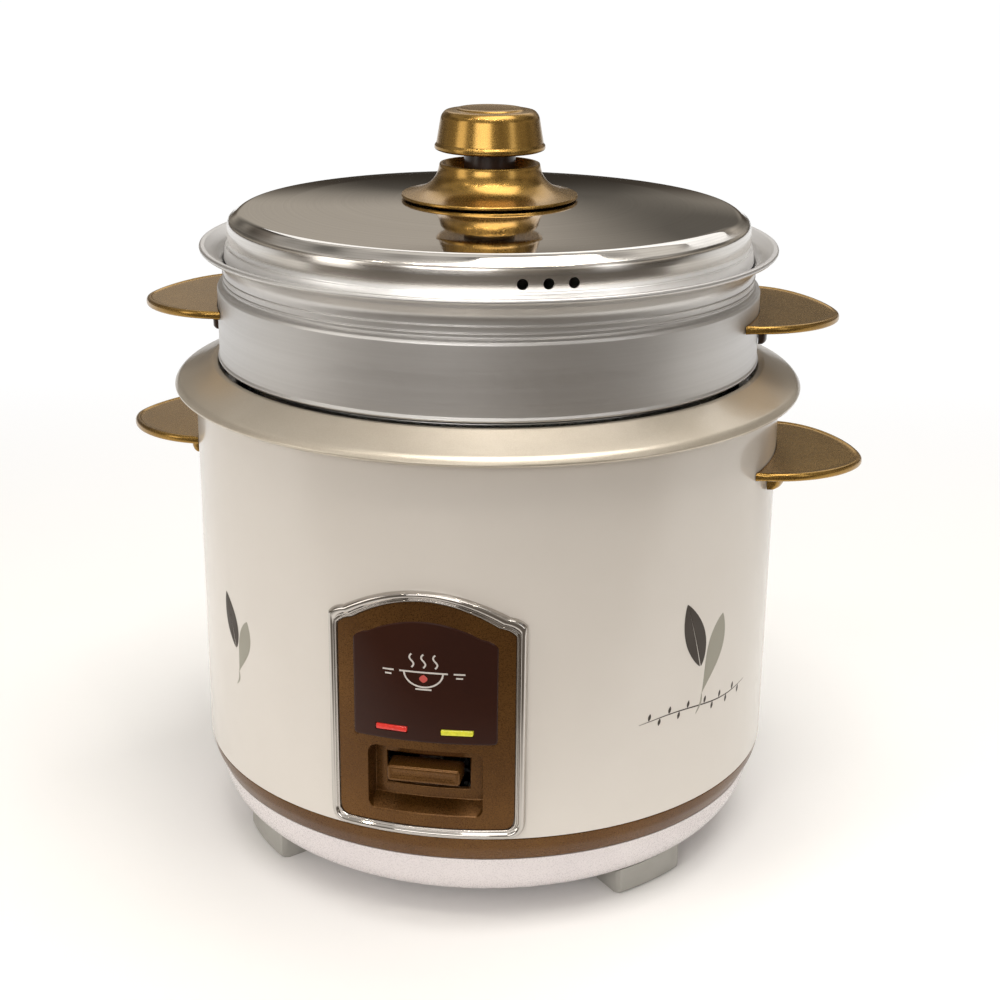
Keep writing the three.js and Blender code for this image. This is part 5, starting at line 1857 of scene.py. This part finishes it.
@dataclass
class Lid(Assembly):
    """The steel lid with its three steam vents, and the mushroom knob."""

    body: str = "lid"
    wall: float = 0.9
    hem: float = 118.8
    skirt: float = 117.1
    vent_radius: float = 2.25
    vent_azimuth: float = 22.4
    vent_spacing: float = 10.4
    vent_rise: float = 2.6
    vent_zone: float = 3.2

    def build(self) -> None:
        """Build the dome and the knob's three visible pieces."""
        self.dome()
        self.knob()
        self.underside()

    def dome(self) -> None:
        """The pressed sheet: hem, brushed skirt and polished dome, with the vents cut in the skirt."""
        place = Levels.of("lid_dome")
        hem, skirt = self.hem, self.skirt
        hem_top = place.bottom + 8.0
        vent_z = hem_top + self.vent_rise
        below = vent_z - self.vent_zone
        above = vent_z + self.vent_zone
        low_part = rounded([
            (hem - 0.7, place.bottom, 0), (hem, place.bottom + 0.8, 0.6),
            (hem - 0.9, hem_top - 0.9, 1.2), (skirt + 0.1, below - 0.4, 0.2), (skirt, below, 0),
        ])
        zone = [(skirt, z) for z in lines((below, above, 0.32))[1:]]
        high_part = rounded([
            (skirt, above, 0), (skirt - 0.5, place.top - 8.3, 3.0), (skirt - 6.0, place.top - 4.4, 7.0),
            (90, place.top - 2.9, 160), (40, place.top - 0.35, 160), (3, place.top, 0),
        ], step=3)[1:]
        profile = np.array([*low_part, *zone, *high_part])
        first_zone = len(low_part) - 1
        zone_rows = range(first_zone, first_zone + len(zone) + 1)
        inner_profile = np.array(offset_outline([tuple(point) for point in profile], self.wall))
        inner_profile[list(zone_rows)] = profile[list(zone_rows)] - (self.wall, 0)
        inner_profile[:first_zone, 1] = np.maximum(inner_profile[:first_zone, 1], place.bottom)
        centres = [self.vent_azimuth + i * math.degrees(self.vent_spacing / skirt) for i in (-1, 0, 1)]
        reach = math.degrees((self.vent_zone + 0.4) / skirt)
        fine = lines((centres[0] - reach, centres[2] + reach, math.degrees(0.32 / skirt)))
        coarse = lines((fine[-1], fine[0] + 360, 1.5))
        angles = np.concatenate([fine, coarse[1:-1]])
        along = np.radians(angles)[:, None] * skirt * np.ones(len(profile))
        height = np.broadcast_to(profile[None, :, 1], along.shape).copy()
        solid = np.ones((len(angles), len(profile) - 1), bool)
        for centre in centres:
            self.punch(along, height, solid, (math.radians(centre) * skirt, vent_z), zone_rows)
        angle = along / skirt
        unit = np.stack([np.sin(angle), -np.cos(angle)], axis=-1)
        outer = np.concatenate([unit * profile[None, :, 0, None], height[..., None]], axis=2)
        inner_height = np.broadcast_to(inner_profile[None, :, 1], height.shape).copy()
        rows = list(zone_rows)
        inner_height[:, rows] = height[:, rows]
        inner = np.concatenate([unit * inner_profile[None, :, 0, None], inner_height[..., None]], axis=2)
        piece = walled("lid_shell", outer, inner, solid, wrap=True)
        self.dress(piece, Finish.POLISHED_STEEL, "lid_dome")

    def punch(
        self, along: np.ndarray, height: np.ndarray, solid: np.ndarray, centre: Spot, rows: range,
    ) -> None:
        """Open the cells inside one vent and move the cells' corners round it onto its circle.

        Args:
            along: Length round the skirt of each grid point, changed in place.
            height: Height of each grid point, changed in place.
            solid: Which cells hold material, changed in place.
            centre: The vent's middle.
            rows: Rows of the grid that the vent may touch.
        """
        low, high = rows[0], rows[-1]
        middle_along = (along[:-1, :-1] + along[1:, 1:]) / 2
        middle_height = (height[:-1, :-1] + height[1:, 1:]) / 2
        inside = np.hypot(middle_along - centre[0], middle_height - centre[1]) < self.vent_radius
        inside[:, :low] = False
        inside[:, high:] = False
        solid[:-1][inside] = False
        touched = np.zeros(along.shape, int)
        for column, row in zip(*np.nonzero(inside)):
            touched[column : column + 2, row : row + 2] += 1
        edge = (touched > 0) & (touched < 4)
        off_along = along[edge] - centre[0]
        off_height = height[edge] - centre[1]
        distance = np.hypot(off_along, off_height)
        along[edge] = centre[0] + off_along * self.vent_radius / distance
        height[edge] = centre[1] + off_height * self.vent_radius / distance

    def knob(self) -> None:
        """The flared flange, the dark neck and the mushroom cap."""
        flange = Levels.of("knob_flange")
        flare = bezier([
            (flange.radius - 0.3, flange.bottom + 1.5), (flange.radius - 9.5, flange.bottom + 3.0),
            (23.6, flange.bottom + 6.0), (22.5, flange.top - 0.7),
        ], 24)
        outline = [
            (13.0, flange.bottom), (flange.radius - 0.5, flange.bottom),
            (flange.radius, flange.bottom + 0.5), (flange.radius, flange.bottom + 1.1), *flare,
            (22.2, flange.top - 0.2), (21.6, flange.top), (20.9, flange.top - 0.1),
            (20.2, flange.top - 0.8), (18.2, flange.bottom + 5.4), (16.6, flange.bottom + 3.6),
            (13.0, flange.bottom + 3.0),
        ]
        self.dress(lathe("knob_skirt", outline, 160), Finish.GOLD_BRONZE, "knob_flange")
        neck = Levels.of("knob_neck")
        post = rounded([
            (2.4, neck.bottom, 0), (12.5, neck.bottom, 0), (12.5, neck.bottom + 4, 0.8),
            (11.5, neck.bottom + 6, 2.0), (11.5, neck.top, 0.3), (2.4, neck.top, 0),
        ], closed=True)
        self.dress(lathe("knob_post", post, 96), Finish.DARK_BROWN, "knob_neck")
        cap = Levels.of("knob_cap")
        edge = cap.radius
        outline = rounded([
            (11.8, cap.bottom + 0.6, 0.2), (edge - 1.6, cap.bottom, 0.6), (edge, cap.bottom + 0.7, 0.9),
            (edge - 0.1, cap.bottom + 2.3, 0.5), (edge - 0.9, cap.bottom + 3.4, 1.0),
            (edge - 2.9, cap.top - 3.4, 6.0), (edge - 4.9, cap.top - 1.1, 2.6),
            (15.6, cap.top - 0.95, 0.7), (14.8, cap.top - 0.25, 0.6), (13.6, cap.top, 0.8),
            (11.0, cap.top - 0.25, 2.0), (0, cap.top - 0.35, 0),
        ], step=7)
        outline = [*outline, (0, cap.bottom + 6.3), (11.8, cap.bottom + 6.3)]
        self.dress(lathe("knob_top", outline, 160), Finish.GOLD_BRONZE, "knob_cap")

    def underside(self) -> None:
        """The washer and screw that hold the knob from below."""
        place = Levels.of("lid_washer")
        washer = rounded(
            [(2.6, place.bottom, 0.3), (place.radius, place.bottom, 0.3), (place.radius, place.top, 0.2),
             (2.6, place.top, 0.2)],
            closed=True,
        )
        self.dress(lathe("knob_washer", washer, 64), Finish.PLATED_STEEL, "lid_washer")
        screw = Levels.of("knob_screw")
        outline = rounded([
            (0, screw.bottom + 1.0, 0), (1.6, screw.bottom + 1.0, 0.1), (1.9, screw.bottom, 0.3),
            (3.0, screw.bottom, 1.0), (4.0, screw.bottom + 1.4, 0.6), (4.0, screw.bottom + 2.4, 0.1),
            (2.0, screw.bottom + 2.4, 0), (2.0, screw.top, 0), (0, screw.top, 0),
        ])
        self.dress(lathe("knob_fixing", outline, 48), Finish.PLATED_STEEL, "knob_screw")


# ---------------------------------------------------------------- heater, inlet and inner works


@dataclass
class Works(Assembly):
    """What shows when the pot is out, the mains inlet at the back, and the finishes of the hidden nodes."""

    frame: dict[str, object] = field(default_factory=dict)

    def build(self) -> None:
        """Build the visible pieces and paint the rest."""
        self.heater()
        self.sensor()
        self.inlet()
        self.paint_nodes()

    def heater(self) -> None:
        """The cast heating plate, with shallow turned grooves in its face."""
        place = Levels.of("heating_plate")
        edge = place.radius
        grooves: list[Corner] = []
        for radius in (76.0, 58.0, 40.0):
            grooves.extend([
                (radius + 1.4, place.top, 0.3), (radius + 0.8, place.top - 0.6, 0.2),
                (radius - 0.8, place.top - 0.6, 0.2), (radius - 1.4, place.top, 0.3),
            ])
        outline = rounded([
            (16, place.bottom, 0.4), (edge - 14, place.bottom, 2.0), (edge, place.top - 4, 2.0),
            (edge, place.top, 3.0), *grooves, (16, place.top, 0.8),
        ], closed=True)
        self.dress(lathe("heating_disc", outline), Finish.MILL_ALUMINIUM, "heating_plate")

    def sensor(self) -> None:
        """The sprung cap that touches the pot's underside."""
        place = Levels.of("sensor_cap")
        edge = place.radius
        outline = rounded([
            (0, place.top, 0), (edge, place.top, 1.0), (edge, place.bottom, 0.3),
            (edge - 1.2, place.bottom, 0.3), (edge - 1.2, place.top - 1.2, 0.6),
            (0, place.top - 1.2, 0),
        ])
        self.paints.dress(lathe("sensor_button", outline, 96), Finish.MILL_ALUMINIUM, "sensor", "sensor_cap")

    def inlet(self) -> None:
        """The mains inlet: a rounded flange that sits on the drum, its socket and two pins."""
        place = Levels.of("power_inlet")
        drum = Levels.of("outer_shell").radius + 0.3
        face = place.high.y
        middle = (place.bottom + place.top) / 2

        def loop(half_x: float, half_z: float, corner: float, depth: float | None) -> np.ndarray:
            """A loop at a depth along Y, or on the drum's surface."""
            flat = rectangle(half_x, half_z, corner, 12)
            y = np.sqrt(drum**2 - flat[:, 0] ** 2) if depth is None else np.full(len(flat), depth)
            return np.stack([flat[:, 0], y, flat[:, 1] + middle], axis=1)

        wide, high = place.high.x, (place.top - place.bottom) / 2
        loops = [
            loop(15, 10, 1.5, place.low.y),
            loop(15, 10, 1.5, None),
            loop(wide, high, 4, None),
            loop(wide, high, 4, face - 1.4),
            loop(wide - 0.4, high - 0.4, 3.6, face - 0.5),
            loop(wide - 1.3, high - 1.3, 2.9, face),
            loop(13.3, 8.8, 2.6, face),
            loop(12.7, 8.2, 2.2, face - 0.4),
            loop(12.5, 8.0, 2.0, face - 1.0),
            loop(12.5, 8.0, 2.0, face - 13.3),
        ]
        socket = loft("inlet_socket", loops)
        self.dress(socket, Finish.BLACK_PLASTIC, "power_inlet")
        for i in (1, 2):
            pin = Levels.of(f"inlet_pin_{i}")
            back, tip = pin.low.y, pin.high.y
            shape = rounded([(0, back, 0), (2, back, 0.2), (2, tip, 1.3), (0, tip, 0)])
            piece = lathe(f"inlet_contact_{i}", shape, 32)
            piece.data.transform(Matrix.Rotation(-math.pi / 2, 4, "X"))
            spot = Vector(((pin.low.x + pin.high.x) / 2, 0, (pin.bottom + pin.top) / 2)) * MM
            piece.data.transform(Matrix.Translation(spot))
            self.dress(piece, Finish.PIN_BRASS, f"inlet_pin_{i}")

    def paint_nodes(self) -> None:
        """Give each frame node that still shows its own finish."""
        slots = {part["node"]: part["material_slot"] for part in self.frame["record"]["subparts"]}
        for name, node in self.frame["nodes"].items():
            if node.hide_render:
                continue
            finish = Finish[slots[name].upper()]
            node.data.materials.clear()
            node.data.materials.append(self.paints.get(finish))
            LOG.info("%s keeps its frame mesh in %s", name, finish.name.lower())


# ---------------------------------------------------------------- studio


@dataclass
class Studio:
    """A pale floor, soft lights and the camera."""

    camera_at: tuple[float, float, float] = (0.15117, -0.78498, 0.4243)
    pan: float = 0.43
    pitch: float = 18.81
    roll: float = 0.57
    azimuth: float = 10.9
    lens: float = 64.16

    def build(self) -> None:
        """Set up the floor, the lights, the surroundings and the camera."""
        self.floor()
        self.surroundings()
        self.lights()
        self.camera()
        bpy.context.scene.view_settings.view_transform = "Standard"

    def floor(self) -> None:
        """A wide pale floor that fills the view."""
        size = 9.0
        steps = np.linspace(-size, size, 5) / MM
        grid = [(x, y, 0.0) for x in steps for y in steps]
        faces = [(i * 5 + j, i * 5 + j + 5, i * 5 + j + 6, i * 5 + j + 1) for i in range(4) for j in range(4)]
        mesh = bpy.data.meshes.new("studio_floor")
        mesh.from_pydata((np.array(grid) * MM).tolist(), [], faces)
        floor = place_mesh("studio_floor", mesh)
        shader = Shader("studio_floor")
        across, depth, _ = shader.split()
        away = shader.mix(depth, 0.98, across, -0.19)
        tone = shader.math("ADD", away, shader.math("MULTIPLY", shader.noise(3.0, 2.0), 0.03))
        front = shader.spread(tone, 0.0, 1.0, -0.34, -0.20)
        far = shader.spread(tone, 0.0, 1.0, 0.25, 0.80)
        near = shader.blend(front, (0.13, 0.115, 0.10), (0.93, 0.93, 0.925))
        shader.link(shader.blend(far, near, (0.0, 0.0, 0.0)), "Base Color")
        shader.link(far, "Emission Strength")
        shader.set(Roughness=0.7, Specular_IOR_Level=0.1, Emission_Color=(1, 1, 1, 1))
        mesh.materials.append(shader.material)

    def surroundings(self) -> None:
        """A plain white backdrop to the eye, and a soft warm room with dark patches to what reflects it."""
        world = bpy.data.worlds.new("studio")
        bpy.context.scene.world = world
        world.use_nodes = True
        tree = world.node_tree
        room = tree.nodes["Background"]
        where = wire(tree, "ShaderNodeTexCoord", {}).outputs["Generated"]
        split = wire(tree, "ShaderNodeSeparateXYZ", {0: where}).outputs
        half = wire(tree, "ShaderNodeMapRange", {"From Min": -1, "Value": split[2]}).outputs["Result"]
        belt = wire(tree, "ShaderNodeValToRGB", {"Fac": half})
        stops = (
            (0.0, (0.30, 0.28, 0.26)), (0.48, (0.34, 0.31, 0.28)), (0.505, (0.16, 0.13, 0.10)),
            (0.53, (0.20, 0.165, 0.13)), (0.56, (0.58, 0.52, 0.44)), (0.66, (0.66, 0.60, 0.52)),
            (0.70, (0.30, 0.26, 0.22)), (0.76, (0.34, 0.30, 0.26)), (0.80, (1.0, 0.95, 0.88)),
            (1.0, (1.1, 1.06, 1.0)),
        )
        points = belt.color_ramp.elements
        points[0].position, points[1].position = stops[0][0], stops[-1][0]
        points[0].color, points[1].color = (*stops[0][1], 1), (*stops[-1][1], 1)
        for position, colour in stops[1:-1]:
            points.new(position).color = (*colour, 1)
        grain = {"Scale": 2.4, "Detail": 1.0, "Vector": where}
        patches = wire(tree, "ShaderNodeTexNoise", grain).outputs["Fac"]
        factors = [
            wire(tree, "ShaderNodeMapRange", span(*values)).outputs["Result"]
            for values in ((patches, 0.30, 1.1, 0.40, 0.58), (split[0], 0.6, 0.75, -1.0, 1.0))
        ]
        power = wire(tree, "ShaderNodeMath", {0: factors[0], 1: factors[1]}, operation="MULTIPLY").outputs[0]
        tree.links.new(belt.outputs["Color"], room.inputs["Color"])
        tree.links.new(power, room.inputs["Strength"])
        backdrop = wire(tree, "ShaderNodeBackground", {"Color": (1, 1, 1, 1)}).outputs[0]
        seen = wire(tree, "ShaderNodeLightPath", {}).outputs["Is Camera Ray"]
        mix = wire(tree, "ShaderNodeMixShader", {"Fac": seen, 1: room.outputs[0], 2: backdrop})
        tree.links.new(mix.outputs[0], tree.nodes["World Output"].inputs["Surface"])

    def lights(self) -> None:
        """Soft boxes overhead, to the left and right and in front, and a row of small lamps that sparkle."""
        boxes = [
            ("overhead", (0.25, -0.2, 1.6), (0, 0, 0.1), (1.3, 0.9), 16.0, (1.0, 0.97, 0.93)),
            ("left", (-1.6, -1.1, 0.7), (0, 0, 0.12), (0.7, 1.1), 5.5, (1.0, 0.96, 0.91)),
            ("right", (1.7, -0.9, 0.8), (0, 0, 0.15), (0.4, 0.9), 2.0, (0.96, 0.97, 1.0)),
            ("front", (-0.2, -2.2, 0.9), (0, 0, 0.12), (1.4, 0.7), 14.0, (1.0, 0.98, 0.96)),
            ("behind", (0.0, 1.8, 1.5), (0, 0.6, 0.0), (2.4, 0.8), 7.0, (1.0, 1.0, 1.0)),
        ]
        for i in range(5):
            across = -0.9 + 0.45 * i
            place = (across, -0.75, 1.7)
            boxes.append((f"lamp_{i}", place, (0, 0, 0.2), (0.07, 0.07), 0.7, (1.0, 0.93, 0.82)))
        for name, place, aim, size, power, colour in boxes:
            data = bpy.data.lights.new(f"{name}_box", "AREA")
            data.shape = "RECTANGLE"
            data.size, data.size_y = size
            data.energy = power
            data.color = colour
            lamp = bpy.data.objects.new(f"{name}_box", data)
            lamp.location = place
            lamp.rotation_euler = (Vector(aim) - Vector(place)).to_track_quat("-Z", "Y").to_euler()
            bpy.context.scene.collection.objects.link(lamp)

    def camera(self) -> None:
        """A level-headed camera in front of the cooker, a little above it and to its right."""
        pan, pitch, roll = (math.radians(value) for value in (self.pan, self.pitch, self.roll))
        forward = Vector((math.sin(pan) * math.cos(pitch), math.cos(pan) * math.cos(pitch), -math.sin(pitch)))
        right = Vector((math.cos(pan), -math.sin(pan), 0))
        up = right.cross(forward)
        rolled_right = math.cos(roll) * right + math.sin(roll) * up
        rolled_up = math.cos(roll) * up - math.sin(roll) * right
        axes = Matrix((rolled_right, rolled_up, -forward)).transposed()
        turn = Matrix.Rotation(math.radians(self.azimuth), 3, "Z")
        data = bpy.data.cameras.new("view")
        data.lens = self.lens
        data.sensor_width = 36
        data.clip_start = 0.01
        data.clip_end = 50
        camera = bpy.data.objects.new("view", data)
        camera.matrix_world = Matrix.Translation(self.camera_at) @ (turn @ axes).to_4x4()
        bpy.context.scene.collection.objects.link(camera)
        bpy.context.scene.camera = camera


# ---------------------------------------------------------------- the cooker


def main() -> None:
    logging.basicConfig(level=logging.INFO, format="%(message)s")
    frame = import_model()
    paints = Paints()
    Studio().build()
    for assembly in (
        Casing(paints),
        BodyHandles(paints),
        FrontPanel(paints),
        LeafPrint(paints),
        Pot(paints),
        Steamer(paints),
        SteamerHandles(paints),
        Lid(paints),
        Works(paints, frame=frame),
    ):
        assembly.build()
        LOG.info("%s is built", type(assembly).__name__)


if __name__ == "__main__":
    main()
